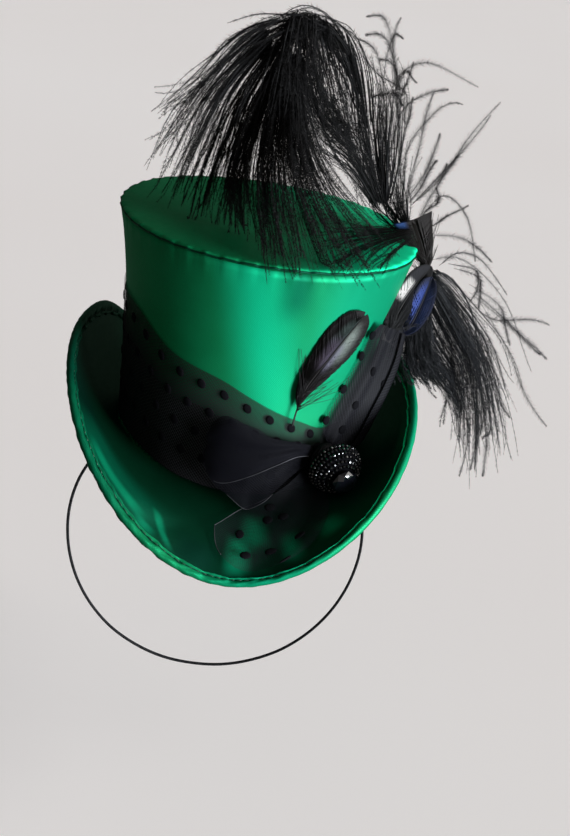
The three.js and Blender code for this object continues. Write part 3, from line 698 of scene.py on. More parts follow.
def net(name, threads_along, threads_across, cover, layers, tint, gloss=0.1):
    """Black net: two crossing sets of fine threads on the piece's own map. cover is the share of each step
    that a thread of the first set fills, and the second set is thinner. layers is the least opacity, a
    number or a level, where more layers lie behind."""
    made = Finish(name)
    u, v = made.along_across()
    stray = made.noise(500) * 0.15
    warp = (u * threads_along + v * threads_across + stray).math("FRACT") < cover
    weft = (u * threads_along - v * threads_across + stray).math("FRACT") < 0.4 * cover
    mesh = warp | weft
    density = layers(made, u, v) if callable(layers) else layers
    alpha = (mesh * 0.94) | density
    colour = made.mix(mesh, (0.0012, 0.0012, 0.002, 1), tint)
    return made.surface(
        Base_Color=colour, Alpha=alpha, Roughness=0.62, Normal=made.bump(mesh, 0.3, 0.0002),
        Specular_IOR_Level=gloss)


folds_round = np.arange(BAND_COLUMNS)[None, :] / BAND_COLUMNS
folds_up = np.linspace(0, 1, FOLDS_ROWS)[:, None]
folds_drift = 0.5 * np.sin(4 * math.pi * folds_round + 0.8) + 0.3 * np.sin(10 * math.pi * folds_round)
folds_wave = np.sin(2 * math.pi * (4.2 * folds_up + folds_drift))
folds_wave = folds_wave + 0.5 * np.sin(2 * math.pi * (7.3 * folds_up - folds_drift))
folds_off = FOLDS_OFF + FOLDS_HEIGHT * folds_wave * np.sin(math.pi * np.clip(folds_up * 1.1, 0, 1))
folds_edge = 1 + 0.03 * np.sin(14 * math.pi * folds_round) + 0.02 * np.sin(38 * math.pi * folds_round)
folds_points = band(folds_round, FOLDS_SHARE * folds_up * folds_edge, folds_off)
folds_quads, folds_map = grid(FOLDS_ROWS, BAND_COLUMNS, close_columns=True)
folds_net = net("band_folds_net", 210, 22, 0.3,
                lambda made, u, v: v.band(1.02, 0.8) * 0.985, (0.026, 0.025, 0.026, 1))
folds = piece("band_gathers", folds_points, [folds_quads], folds_net, "black_net", ["band_folds"], folds_map)


# Band: one sheer layer of dotted net over the folds, wrapped round the crown to its full height and drawn
# down to the bow. Its dots are flocked on.
NET_OFF = 0.0014
NET_CLOSER = 0.0006
NET_WAVE = 0.0002
NET_ROWS = 30
DOT_RADIUS = 0.0023
DOT_SIDES = 10
DOT_ROWS, DOT_COLUMNS = 4, 33
DOT_TOP, DOT_STEP = 0.88, 0.215
DOT_RINGS = np.array([0.03, 0.6, 0.92, 1.0])
DOT_LIFT = np.array([0.00052, 0.00046, 0.00028, -0.00008])


def band_net(share_round, share_up, off):
    """The sheer layer: it stands off in slow waves, and lies closer above the folds."""
    wave = np.sin(2 * math.pi * (5 * share_round + share_up)) * np.sin(6 * math.pi * share_round + 1)
    closer = NET_CLOSER * np.clip((share_up - 0.7) / 0.3, 0, 1)
    return band(share_round, share_up, NET_OFF - closer + NET_WAVE * wave + off)


def dots(surface, places, radius):
    """Flocked dots: at each place, given by a surface's two shares, rings of a low dome are laid out along
    the surface's own two ways, scaled there to true length."""
    u, v = np.asarray(places, float).T
    step = 1e-4
    scale_u = np.linalg.norm(surface(u + step, v, 0) - surface(u - step, v, 0), axis=-1) / (2 * step)
    scale_v = np.linalg.norm(surface(u, v + step, 0) - surface(u, v - step, 0), axis=-1) / (2 * step)
    angle = circle(DOT_SIDES)
    ring = radius * DOT_RINGS[None, :, None]
    dot_u = u[:, None, None] + ring * np.cos(angle) / scale_u[:, None, None]
    dot_v = v[:, None, None] + ring * np.sin(angle) / scale_v[:, None, None]
    points = surface(dot_u, dot_v, np.broadcast_to(DOT_LIFT[None, :, None], dot_u.shape))
    rings = len(DOT_RINGS)
    quads, _ = grid(rings, DOT_SIDES, close_columns=True, turned=True)
    ends = np.concatenate(caps(rings, DOT_SIDES, turned=True))
    return points, [copies(part, len(u), rings * DOT_SIDES) for part in (quads, ends)]


net_points = band_net(folds_round, np.linspace(0, 1, NET_ROWS)[:, None], 0)
net_quads, net_map = grid(NET_ROWS, BAND_COLUMNS, close_columns=True)
sheer_net = net("band_sheer_net", 210, 34, 0.27,
                lambda made, u, v: v.band(1.0, 0.45) * 0.5 + 0.4, (0.018, 0.018, 0.019, 1))
band_sheet = piece("band_sheer", net_points, [net_quads], sheer_net, "dotted_net", ["band_net"], net_map)

flock = Finish("black_flock")
pile = flock.noise(3000)
flock.surface(Base_Color=flock.mix(pile, (0.001, 0.001, 0.0015, 1), (0.004, 0.004, 0.005, 1)), Roughness=0.9,
              Normal=flock.bump(pile, 0.5, 0.0002), Specular_IOR_Level=0.05)
dot_rows, dot_columns = np.meshgrid(np.arange(DOT_ROWS), np.arange(DOT_COLUMNS), indexing="ij")
dot_round = (dot_columns + 0.5 + 0.5 * (dot_rows % 2)) / DOT_COLUMNS
band_dots = np.stack([dot_round, DOT_TOP - DOT_STEP * dot_rows], -1).reshape(-1, 2)
piece("band_dots", *dots(band_net, band_dots, DOT_RADIUS), flock, "dotted_net")


# Strip: the end of the band climbs from the knot to the feathers as a wide gathered strip of dotted net.
# Its left side is sheer, and its right edge is folded over.
STRIP_LEFT = [
    (40, 26, 2.6), (38.3, 33, 1.9), (44.4, 49, 1.2), (50.5, 65, 1.2), (51.8, 76, 1.9), (54.5, 82, 3.2)]
STRIP_RIGHT = [
    (49, 13.5, 7.5), (58.5, 21.5, 11), (62.5, 35, 13), (65.5, 47, 14), (67.5, 60, 14), (66, 76, 12)]
STRIP_ROWS = 60
STRIP_COLUMNS = 44
FOLD_SHARE = 0.2
FOLD_RISE = 0.0013


def crown_line(rows):
    """A table of turns, heights and distances off the crown, in degrees and millimetres, as points."""
    turn, height, off = np.array(rows, float).T
    return on_crown(turn, height / 1000, off / 1000)


def ribbon(low_edge, high_edge, ripple):
    """The surface between two edges, moved off along its normal by a ripple and by off."""

    def flat(u, v):
        """A straight line from edge to edge at the share u of their lengths."""
        return through(low_edge, u) * (1 - v)[..., None] + through(high_edge, u) * v[..., None]

    def surface(u, v, off):
        """The flat surface plus its normal, the cross product of small steps along and across it."""
        u, v, off = np.broadcast_arrays(np.asarray(u, float), v, off)
        step = 1e-3
        along = flat(np.minimum(u + step, 1), v) - flat(np.maximum(u - step, 0), v)
        normal = unit(np.cross(along, flat(u, v + step) - flat(u, v - step)))
        return flat(u, v) + normal * (off + ripple(u, v))[..., None]

    return surface


def strip_ripple(u, v):
    """Gathers of the strip: a slanting wave that fades at both edges, and a finer one along it."""
    return 0.0005 * np.sin(9 * v + 2 * u) * np.sin(math.pi * v) - 0.0004 * np.cos(17 * v)


strip_surface = ribbon(crown_line(STRIP_LEFT), crown_line(STRIP_RIGHT), strip_ripple)
strip_u = np.linspace(0, 1, STRIP_ROWS)[:, None]
strip_w = np.linspace(0, 1 + FOLD_SHARE, STRIP_COLUMNS)[None, :]
strip_back = np.maximum(strip_w - 1, 0) / FOLD_SHARE
strip_v = np.where(strip_w > 1, 2 - strip_w, strip_w)
strip_points = strip_surface(strip_u, strip_v, -FOLD_RISE * np.minimum(strip_back * 2.5, 1))
strip_quads, strip_map = grid(STRIP_ROWS, STRIP_COLUMNS)
strip_net = net("strip_net", 17, 40, 0.26,
                lambda made, u, v: (u.band(0.08, 0.24) * 0.84 + 0.1) | v.band(0.74, 0.86) * 0.97,
                (0.0082, 0.0082, 0.011, 1))
strip = piece("band_end", strip_points, [strip_quads], strip_net, "dotted_net", ["band_strip"], strip_map)
strip_dots = [
    (0.22, 0.03), (0.41, 0.05), (0.615, 0.03), (0.82, 0.04), (0.215, 0.435), (0.375, 0.44), (0.605, 0.43),
    (0.6, 0.815)]
strip_flocked = dots(lambda u, v, off: strip_surface(u, v, -np.asarray(off)), strip_dots, DOT_RADIUS)
piece("band_end_dots", *strip_flocked, flock, "dotted_net")


# Knot: the net is drawn together and tied under the jewel. It is a small flattened bundle of many layers,
# and its gathers run up and down.
KNOT_HALF = np.array([0.0072, 0.0034, 0.009])
KNOT_TURN, KNOT_HEIGHT, KNOT_OFF = 39, 0.015, 0.0064
KNOT_ROWS, KNOT_COLUMNS = 26, 72
KNOT_GATHERS = 11
knot_rise = np.linspace(-0.97, 0.97, KNOT_ROWS)[:, None] * math.pi / 2
knot_round = circle(KNOT_COLUMNS)[None, :]
knot_gather = 1 - 0.07 * np.cos(KNOT_GATHERS * knot_round + 1.5 * np.sin(2 * knot_rise)) * np.cos(knot_rise)
knot_local = np.stack([
    KNOT_HALF[0] * np.cos(knot_rise) * np.cos(knot_round) * knot_gather,
    KNOT_HALF[1] * np.cos(knot_rise) * np.sin(knot_round) * knot_gather,
    KNOT_HALF[2] * np.sin(knot_rise) + 0 * knot_round], -1)
knot_angle = math.radians(KNOT_TURN)
knot_axes = np.array([[math.cos(knot_angle), math.sin(knot_angle), 0],
                      [-math.sin(knot_angle), math.cos(knot_angle), 0], [0, 0, 1]])
knot_points = on_crown(KNOT_TURN, KNOT_HEIGHT, KNOT_OFF) + knot_local @ knot_axes
knot_quads, knot_map = grid(KNOT_ROWS, KNOT_COLUMNS, close_columns=True)
knot_caps = caps(KNOT_ROWS, KNOT_COLUMNS)
knot_map = np.concatenate([knot_map, np.zeros((2 * KNOT_COLUMNS, 2))])
knot_net = net("knot_net", 40, 24, 0.4, 0.97, (0.004, 0.004, 0.0055, 1))
piece("bow_gather", knot_points, [knot_quads, *knot_caps], knot_net, "black_net", ["bow_knot"], knot_map)


# Bow loop: a length of net folded back on itself from the knot, open below, with turned edges on which
# glints of light are painted.
LOOP = np.array([
    (30, 19, 7.4, 24.5, 7), (22, 20.5, 11, 27, 8), (14, 16.5, 12, 28.5, 9), (5, 10.6, 12.5, 31, 9),
    (-4, 5.2, 12, 36.3, 9), (-10, 5.5, 11, 36, 8), (-14.5, 12, 8.5, 29, 6), (-9.5, 3.6, 8.6, 31, 4.2),
    (-1.7, -1.2, 11, 33, 4.2), (3.2, -4.9, 12.5, 32, 4.2), (6.3, -5.8, 12.5, 31, 4.3),
    (11, -2.5, 12.5, 28, 4.4), (13.6, 0.2, 12, 27, 4.5), (19.3, 6.9, 10, 26, 4.6), (31, 14, 5.5, 22, 4.4),
])
LOOP_ROWS = 90
LOOP_COLUMNS = 26
EDGE_RADIUS = 0.0002
EDGE_ACROSS = np.array([0, 0.3, 1.0])
EDGE_STEPS = 70
loop_low = crown_line(LOOP[:, [0, 1, 2]])
loop_high = crown_line(LOOP[:, [0, 3, 4]])
loop_surface = ribbon(loop_low, loop_high,
                      lambda u, v: 0.0006 * np.sin(13 * v + 3 * u) * np.sin(math.pi * u) ** 0.5)
loop_u = np.linspace(0, 1, LOOP_ROWS)[:, None]
loop_v = np.linspace(0, 1, LOOP_COLUMNS)[None, :]
loop_quads, loop_map = grid(LOOP_ROWS, LOOP_COLUMNS)
loop_net = net("loop_net", 24, 66, 0.22,
               lambda made, u, v: u.band(1.0, 0.7) * 0.15 + 0.5, (0.0065, 0.0065, 0.009, 1), 0.03)
loop_points = loop_surface(loop_u, loop_v, 0)
loop = piece("bow_fold", loop_points, [loop_quads], loop_net, "black_net", ["bow_loop"], loop_map)

selvedge = Finish("net_selvedge")
# Painted glints: patches of the edge threads are lighter, as if catching the light; the bow tail's edge uses
# them too.
painted_glint = selvedge.noise(110).band(0.38, 0.66)
selvedge_colour = selvedge.mix(painted_glint, (0.004, 0.004, 0.006, 1), (0.03, 0.03, 0.036, 1))
selvedge.surface(Base_Color=selvedge_colour, Roughness=0.6)
loop_edge = loop_surface(np.linspace([0, 0.56], [0.34, 0.88], EDGE_STEPS).T, 0.0, 0)
loop_strands = strands(loop_edge, EDGE_ACROSS, EDGE_RADIUS, EDGE_RADIUS)
piece("bow_fold_edge", *loop_strands, selvedge, "black_net")


# Bow tail: the other end of the net hangs from the knot and lies on the front of the brim, spread out like
# a fan and sheer, with its dots.
TAIL_LEFT = np.array([(31, 6.5, 12), (14.5, 9, 5), (3.5, 12.5, 1.6), (-5.5, 24.5, 2.6)])
TAIL_MIDDLE = np.array([(35, 7, 8), (25, 16, 3), (13, 31, 1.6), (2.5, 43, 2.6)])
TAIL_RIGHT = np.array([(40, 8, 4), (34, 24, 1.2), (27, 36, 1.6), (22, 42, 2.6)])
TAIL_ROWS = 60
TAIL_COLUMNS = 44
TAIL_SIDE_STEPS, TAIL_END_STEPS = 60, 20


def tail_surface(u, v, off):
    """Left edge, middle line and right edge of the tail joined across by parabolas: turns, reaches on the
    brim and lifts off it, with soft folds that run lengthwise."""
    u, v, off = np.broadcast_arrays(np.asarray(u, float), v, off)
    share = v[..., None]
    place = through(TAIL_LEFT, u) * (1 - share) * (1 - 2 * share)
    place = place + through(TAIL_MIDDLE, u) * 4 * share * (1 - share)
    place = place + through(TAIL_RIGHT, u) * share * (2 * share - 1)
    fold = 0.0006 * np.sin(15 * v + 2 * u) * u
    return on_brim(place[..., 0], place[..., 1] / 1000, BRIM_HALF + place[..., 2] / 1000 + fold + off)


tail_u = np.linspace(0, 1, TAIL_ROWS)[:, None]
tail_v = np.linspace(0, 1, TAIL_COLUMNS)[None, :]
tail_quads, tail_map = grid(TAIL_ROWS, TAIL_COLUMNS, turned=True)
tail_net = net("tail_net", 46, 56, 0.2,
               lambda made, u, v: v.band(0.8, 0.1) * 0.5 + 0.04, (0.008, 0.009, 0.012, 1))
tail_points = tail_surface(tail_u, tail_v, 0)
tail = piece("bow_end", tail_points, [tail_quads], tail_net, "dotted_net", ["bow_tail"], tail_map)
tail_dots = [
    (0.765, 0.21), (0.53, 0.28), (0.46, 0.415), (0.61, 0.76), (0.845, 0.445), (0.745, 0.595), (0.93, 0.85),
    (0.42, 0.17)]
piece("bow_end_dots", *dots(tail_surface, tail_dots, DOT_RADIUS), flock, "dotted_net")
tail_edge = np.concatenate([
    tail_surface(np.linspace(0.3, 1, TAIL_SIDE_STEPS), 0.0, 0),
    tail_surface(1.0, np.linspace(0.02, 0.3, TAIL_END_STEPS), 0)])
tail_strands = strands(tail_edge[None], EDGE_ACROSS, EDGE_RADIUS, EDGE_RADIUS)
piece("bow_end_edge", *tail_strands, selvedge, "dotted_net")


# Jewel: a low dome of black felt over the knot, paved with rings of tiny cut beads of black glass that are
# sewn on. Each bead lies at its own angle, so that only some of them catch the light.
JEWEL_TURN, JEWEL_RADIUS, JEWEL_HEIGHT = 40.5, 0.068, 0.0148
JEWEL_FACING, JEWEL_RISE = 25, -13
DOME_RADIUS = 0.0122
DOME_HEIGHT = 0.0112
DOME_EDGE = 0.0013
DOME_ROWS, DOME_COLUMNS = 14, 64
DOME_FOOT = [(DOME_RADIUS - 0.001, 0.0), (DOME_RADIUS, 0.0003)]
BEAD_RADIUS = 0.00082
BEAD_RINGS = 6
BEAD_STEP = 0.00188
BEAD_LIFT = 0.0003
BEAD_LEVELS = np.radians([-75, -30, 30, 75])
BEAD_SIDES = 7
facing, rising = np.radians([JEWEL_FACING, JEWEL_RISE])
jewel_side = np.array([math.cos(facing), math.sin(facing), 0])
jewel_out = around_crown(math.cos(rising), JEWEL_FACING, math.sin(rising))
jewel_axes = np.stack([jewel_side, np.cross(jewel_out, jewel_side), jewel_out])
jewel_place = around_crown(JEWEL_RADIUS, JEWEL_TURN, JEWEL_HEIGHT)


def turned(section, columns):
    """A surface of revolution about the way the jewel faces, from rows of radius and height, closed at both
    ends. Returns points and faces."""
    angle = circle(columns)
    radius, height = section[:, :1], section[:, 1:]
    local = np.stack([radius * np.cos(angle), radius * np.sin(angle), height + 0 * angle], -1)
    quads, _ = grid(len(section), columns, close_columns=True)
    return jewel_place + local @ jewel_axes, [quads, *caps(len(section), columns)]


def dome_rise(angle):
    """Radius and height of the dome's face at an angle up from its rim."""
    return np.stack([DOME_RADIUS * np.cos(angle), DOME_EDGE + (DOME_HEIGHT - DOME_EDGE) * np.sin(angle)], -1)


dome_section = np.concatenate([DOME_FOOT, dome_rise(np.linspace(0, 1.5, DOME_ROWS))])
jet = Finish("black_glass_beads")
jet_tone = jet.noise(800)
jet.surface(Base_Color=jet.mix(jet_tone, (0.0008, 0.0008, 0.0012, 1), (0.002, 0.0022, 0.004, 1)),
            Roughness=0.1 + jet_tone * 0.1, Specular_IOR_Level=0.8)
felt = Finish("black_felt")
felt_colour = felt.mix(felt.noise(2000), (0.001, 0.001, 0.0015, 1), (0.003, 0.003, 0.004, 1))
felt.surface(Base_Color=felt_colour, Roughness=0.9, Specular_IOR_Level=0.05)
piece("jewel_base", *turned(dome_section, DOME_COLUMNS), felt, "black_beads", ["jewel_dome"])

ring_angle = np.linspace(0.04, 1.0, BEAD_RINGS)
ring_radius, ring_height = dome_rise(ring_angle).T
ring_count = np.round(2 * math.pi * ring_radius / BEAD_STEP).astype(int)
bead_radius = np.repeat(ring_radius, ring_count)
bead_height = np.repeat(ring_height, ring_count)
bead_tilt = np.repeat(ring_angle, ring_count)
bead_number = np.concatenate([np.arange(count) for count in ring_count])
bead_angle = 2 * math.pi * bead_number / np.repeat(ring_count, ring_count)
bead_out = bead_radius + BEAD_LIFT * np.cos(bead_tilt)
bead_middle = np.stack([
    bead_out * np.cos(bead_angle), bead_out * np.sin(bead_angle),
    bead_height + BEAD_LIFT * np.sin(bead_tilt)], -1)
bead_rise = BEAD_LEVELS[:, None]
bead_round = circle(BEAD_SIDES)[None, :]
bead_ball = BEAD_RADIUS * np.stack([
    np.cos(bead_rise) * np.cos(bead_round), np.cos(bead_rise) * np.sin(bead_round),
    np.sin(bead_rise) + 0 * bead_round], -1)
bead_quads, _ = grid(len(BEAD_LEVELS), BEAD_SIDES, close_columns=True)
bead_ends = np.concatenate(caps(len(BEAD_LEVELS), BEAD_SIDES))
bead_size = len(BEAD_LEVELS) * BEAD_SIDES
bead_faces = [copies(part, len(bead_middle), bead_size) for part in (bead_quads, bead_ends)]
bead_draw = np.random.default_rng(4)
bead_side = unit(bead_draw.normal(0, 1, (len(bead_middle), 3)))
bead_up = unit(np.cross(bead_side, bead_draw.normal(0, 1, (len(bead_middle), 3))))
bead_turn = np.stack([bead_side, bead_up, np.cross(bead_side, bead_up)], 1)
bead_cut = np.einsum("rcj,njk->nrck", bead_ball, bead_turn)
bead_points = jewel_place + (bead_middle[:, None, None] + bead_cut) @ jewel_axes
piece("jewel_beads", bead_points, bead_faces, jet, "black_beads", smooth=False)


# Stone: a faceted black glass stone set on top of the dome. Its girdle has eight sides, and two rows of
# small faces lead up to a flat top.
STONE_RADIUS = 0.0064
STONE_SIDES = 8
STONE_ROWS = np.array([(0.82, 0.0112, 0), (1.0, 0.0128, 0), (0.86, 0.0145, 0.5), (0.55, 0.0153, 0)])
stone_out, stone_height, stone_shift = STONE_ROWS.T[..., None]
stone_angle = 2 * math.pi * (np.arange(STONE_SIDES) + stone_shift) / STONE_SIDES
stone_local = np.stack([
    STONE_RADIUS * stone_out * np.cos(stone_angle), STONE_RADIUS * stone_out * np.sin(stone_angle),
    stone_height + 0 * stone_angle], -1)
base, girdle, star, table = np.arange(len(STONE_ROWS))[:, None] * STONE_SIDES + np.arange(STONE_SIDES)
stone_quads = np.stack([base, np.roll(base, -1), np.roll(girdle, -1), girdle], -1)
stone_faces = np.concatenate([
    np.stack([girdle, np.roll(girdle, -1), star], -1),
    np.stack([star, np.roll(girdle, -1), np.roll(star, -1)], -1),
    np.stack([star, np.roll(star, -1), np.roll(table, -1)], -1),
    np.stack([table, star, np.roll(table, -1)], -1)])
stone_glass = Finish("black_stone_glass")
stone_tone = stone_glass.noise(300)
stone_glass.surface(Base_Color=stone_glass.mix(stone_tone, (0.002, 0.002, 0.003, 1), (0.006, 0.006, 0.01, 1)),
                    Roughness=0.04 + stone_tone * 0.04, Coat_Weight=1.0, Coat_Roughness=0.02)
stone_facets = [stone_quads, stone_faces, *caps(len(STONE_ROWS), STONE_SIDES)]
piece("jewel_cut_stone", jewel_place + stone_local @ jewel_axes, stone_facets, stone_glass, "black_stone",
      ["jewel_stone"], smooth=False)


# Front feather: a short glossy feather that lies on the crown, with a thin quill tucked into the band and
# down at its foot. A pearly sheen is painted on its vane beside the shaft.
FRONT_SHAFT = [
    (21, 33, 2.8), (21.6, 42, 2.6), (23.4, 52.5, 2.4), (30.4, 66.7, 2.2), (36.4, 78.2, 2.2), (41.8, 88, 2.4)]
BARB_STEPS = 7
BARB_LAG = 0.2
TIP_LAG = 0.4
VANE_CUP = 0.1
VANE_HALF = 0.00007
TUFT_BARBS = 7
SPLIT = 0.004
LEAF_FULLNESS = 0.62
DOWN_COUNT = 40
DOWN_LIFT = 0.0006
DOWN_WIDE, DOWN_HIGH = 0.00015, 0.00012
QUILL_STEPS = 30
QUILL_LIFT = 0.0001


def joined(*groups):
    """Several groups of points and faces as one."""
    starts = np.cumsum([0] + [points.reshape(-1, 3).shape[0] for points, _ in groups])
    faces = [part + start for (_, parts), start in zip(groups, starts) for part in parts]
    return np.concatenate([points.reshape(-1, 3) for points, _ in groups]), faces


def feather(shaft, facing, width, bare, skew, barbs, seed, square=False):
    """A short feather. Each barb leaves the shaft at a station and runs to the leaf's outline a little
    further on, cupped towards the back; barbs hold together in tufts, with small splits between them.
    The outline is a half sine, or widens to a square end. Returns points, faces and a map of the station
    and of the share of the way out, negative on one side."""
    draw = np.random.default_rng(seed)
    station = np.repeat(np.linspace(bare, 1, barbs), 2)
    sign = np.tile([-1.0, 1.0], barbs)
    tufts = draw.normal(0, SPLIT, (barbs // TUFT_BARBS + 1, 2))
    tufts = np.repeat(tufts, TUFT_BARBS, axis=0)[:barbs].reshape(-1)
    lag = BARB_LAG * (1 - bare)
    gone = (station - bare) / (1 - bare)
    reach = station + lag * (1 - (1 - TIP_LAG) * gone ** 3) + tufts
    share = np.clip((reach - bare) / (1 + lag * TIP_LAG - bare), 0, 1)
    leaf = share ** 0.7 if square else np.sin(math.pi * share ** skew) ** LEAF_FULLNESS
    half = width / 2 * leaf * draw.uniform(0.97, 1.02, len(station))
    t = np.linspace(0, 1, BARB_STEPS)[None, :]
    along = station[:, None] + (reach - station)[:, None] * t ** 1.25
    end_step = through(shaft, np.array(1.0)) - through(shaft, np.array(0.98))
    middle = through(shaft, along) + np.maximum(along - 1, 0)[..., None] * end_step / 0.02
    way = unit(through(shaft, along + 0.01) - through(shaft, np.minimum(along, 1) - 0.02))
    face = facing(middle)
    side = unit(np.cross(way, face))
    paths = middle + side * (sign * half)[:, None, None] * t[..., None]
    paths = paths - face * (VANE_CUP * half[:, None] * t ** 2)[..., None]
    quill_share = np.linspace(0, 1, QUILL_STEPS)
    quill_path = through(shaft, quill_share)
    quill_side = unit(np.cross(np.gradient(quill_path, axis=0), facing(quill_path)))
    length = np.linalg.norm(np.diff(quill_path, axis=0), axis=1).sum()
    barb_half = 0.95 * length * (1 - bare) / barbs * (1 - 0.25 * t ** 2)
    vane = strands(paths, -way * sign[:, None, None], barb_half, VANE_HALF)
    quill = strands((quill_path + facing(quill_path) * QUILL_LIFT)[None], quill_side[None],
                    0.0005 - 0.0004 * quill_share, 0.0004 - 0.0003 * quill_share)
    down_start = through(shaft, draw.uniform(0.8 * bare, bare + 0.15, DOWN_COUNT))
    down_way = unit(end_step + 0 * down_start)
    down_side = unit(np.cross(down_way, facing(down_start))) * draw.choice([-1.0, -1.0, 1.0], (DOWN_COUNT, 1))
    down_lean = draw.uniform(0.2, 0.9, (DOWN_COUNT, 1))
    down_go = down_way * np.cos(down_lean) + down_side * np.sin(down_lean)
    down_go = down_go * draw.uniform(0.35, 1.1, (DOWN_COUNT, 1))
    down_bend = (down_way * draw.uniform(-0.1, 0.3, (DOWN_COUNT, 1)))[:, None] * t[..., None] ** 2
    down_paths = down_start[:, None] + facing(down_start)[:, None] * DOWN_LIFT
    down_paths = down_paths + width * (down_go[:, None] * t[..., None] + down_bend)
    down = strands(down_paths, facing(down_paths), DOWN_WIDE * (1 - 0.7 * t), DOWN_HIGH)
    points, faces = joined(vane, quill, down)
    vane_map = np.stack([along, sign[:, None] * np.broadcast_to(t, along.shape)], -1).reshape(-1, 2)
    quill_map = np.stack([quill_share, 0 * quill_share], -1)
    down_map = np.tile([0.0, 1.0], (DOWN_COUNT * BARB_STEPS, 1))
    return points, faces, np.repeat(np.concatenate([vane_map, quill_map, down_map]), 3, axis=0)


def outward(points):
    """The way straight out from the crown's axis."""
    return unit(points * (1, 1, 0))


def fixed(*way):
    """The same way everywhere."""
    return lambda points: np.broadcast_to(unit(np.array(way, float)), points.shape)


def vane_finish(name, dark, light, colour_and_sheen_streaks):
    """A glossy vane between two dark tones, with streaks of its own colour and streaks of painted sheen:
    each is a colour, a stretch of stations, a stretch of the way out and a strength."""
    made = Finish(name)
    s, t = made.along_across()
    colour = made.mix(made.noise(700, 3), dark, light)
    # Some streaks are the feather's own colour and some are painted sheen.
    for tone, (s0, s1, s2, s3), (t0, t1, t2, t3), strength in colour_and_sheen_streaks:
        colour_and_sheen_mask = s.band(s0, s1) * s.band(s3, s2) * t.band(t0, t1) * t.band(t3, t2) * strength
        colour = made.mix(colour_and_sheen_mask * (made.noise(1200) * 0.8 + 0.6), colour, tone)
    quill = t.math("ABSOLUTE").band(0.05, 0.02)
    colour = made.mix(quill * 0.6, colour, (0.014, 0.012, 0.011, 1))
    return made.surface(Base_Color=colour, Roughness=0.4 + made.noise(900) * 0.2, Specular_IOR_Level=0.22)


# All four streaks are painted sheen: pearly and lavender highlights on both halves of the vane.
front_finish = vane_finish("front_feather", (0.0038, 0.0034, 0.0035, 1), (0.011, 0.0095, 0.01, 1), [
    ((0.16, 0.19, 0.17, 1), (0.54, 0.70, 0.80, 0.97), (0.0, 0.04, 0.3, 0.85), 0.85),
    ((0.09, 0.125, 0.115, 1), (0.66, 0.76, 0.86, 0.96), (-0.65, -0.3, -0.04, 0.0), 0.8),
    ((0.18, 0.15, 0.21, 1), (0.50, 0.60, 0.70, 0.82), (-0.65, -0.25, -0.03, 0.0), 0.8),
    ((0.13, 0.125, 0.17, 1), (0.50, 0.58, 0.68, 0.78), (0.0, 0.04, 0.15, 0.5), 0.7),
])
front = feather(crown_line(FRONT_SHAFT), outward, 0.0225, 0.22, 1.7, 130, 5)
piece("front_feather", *front[:2], front_finish, "dark_feather", ["feather_front"], map_points=front[2])


# Blue feather: a short blue feather with a dark shaft line, tucked behind the strip's top. A brighter
# blue is painted on one half of its vane as sheen, and a weaker one on the other half.
BLUE_SHAFT = np.array([(64.6, -17.8, 66), (71.3, -17.7, 75), (75.2, -16, 87.2), (77.7, -13, 98.5)]) / 1000
# Both streaks are painted sheen: a bright blue on one half and a dim one on the other.
blue_finish = vane_finish("blue_feather", (0.0015, 0.0025, 0.009, 1), (0.0035, 0.007, 0.027, 1), [
    ((0.014, 0.032, 0.15, 1), (0.25, 0.45, 0.75, 0.98), (-0.85, -0.55, -0.25, -0.08), 0.9),
    ((0.006, 0.013, 0.05, 1), (0.25, 0.45, 0.75, 0.98), (0.08, 0.35, 0.6, 0.9), 0.8),
])
blue = feather(BLUE_SHAFT, fixed(0.25, -0.93, 0.25), 0.0125, 0.2, 1.0, 70, 6)
piece("blue_feather", *blue[:2], blue_finish, "blue_feather", ["feather_blue"], map_points=blue[2])


# Pied feather: a glossy black feather beside the blue one, with its foot tucked under the strip. A white
# patch lies on one half of its vane.
PIED_SHAFT = np.array([(61.4, -26.3, 70), (64.5, -21.5, 83.5), (71.6, -14, 96.4), (76.9, -10, 102.8)]) / 1000
pied_finish = vane_finish("pied_feather", (0.003, 0.003, 0.004, 1), (0.009, 0.009, 0.011, 1), [
    ((0.001, 0.001, 0.0012, 1), (-0.2, -0.1, 0.4, 0.5), (-1.3, -1.2, 1.2, 1.3), 1.0),
    ((0.38, 0.36, 0.34, 1), (0.40, 0.48, 0.60, 0.68), (-0.9, -0.7, -0.3, -0.1), 1.0),
])
pied = feather(PIED_SHAFT, fixed(0.5, -0.8, 0.3), 0.014, 0.02, 0.8, 80, 7)
piece("pied_feather", *pied[:2], pied_finish, "dark_feather", ["feather_pied"], map_points=pied[2])


# Dark feather: a square-ended brown-black feather that stands above the others, with a little blue at its
# upper edge.
DARK_SHAFT = np.array([
    (63.8, -21.2, 67), (72, -12, 87), (75.5, -8, 101), (71.5, -5.5, 112), (66, -2, 122.5)]) / 1000
dark_finish = vane_finish("dark_feather", (0.005, 0.0038, 0.0032, 1), (0.011, 0.0085, 0.0072, 1), [
    ((0.016, 0.05, 0.15, 1), (0.9, 0.97, 1.1, 1.2), (-1.3, -1.1, -0.6, -0.3), 0.8),
])
dark = feather(DARK_SHAFT, fixed(0.2, -0.9, 0.4), 0.0205, 0.5, 1.0, 90, 8, square=True)
piece("dark_feather", *dark[:2], dark_finish, "dark_feather", ["feather_dark"], map_points=dark[2])


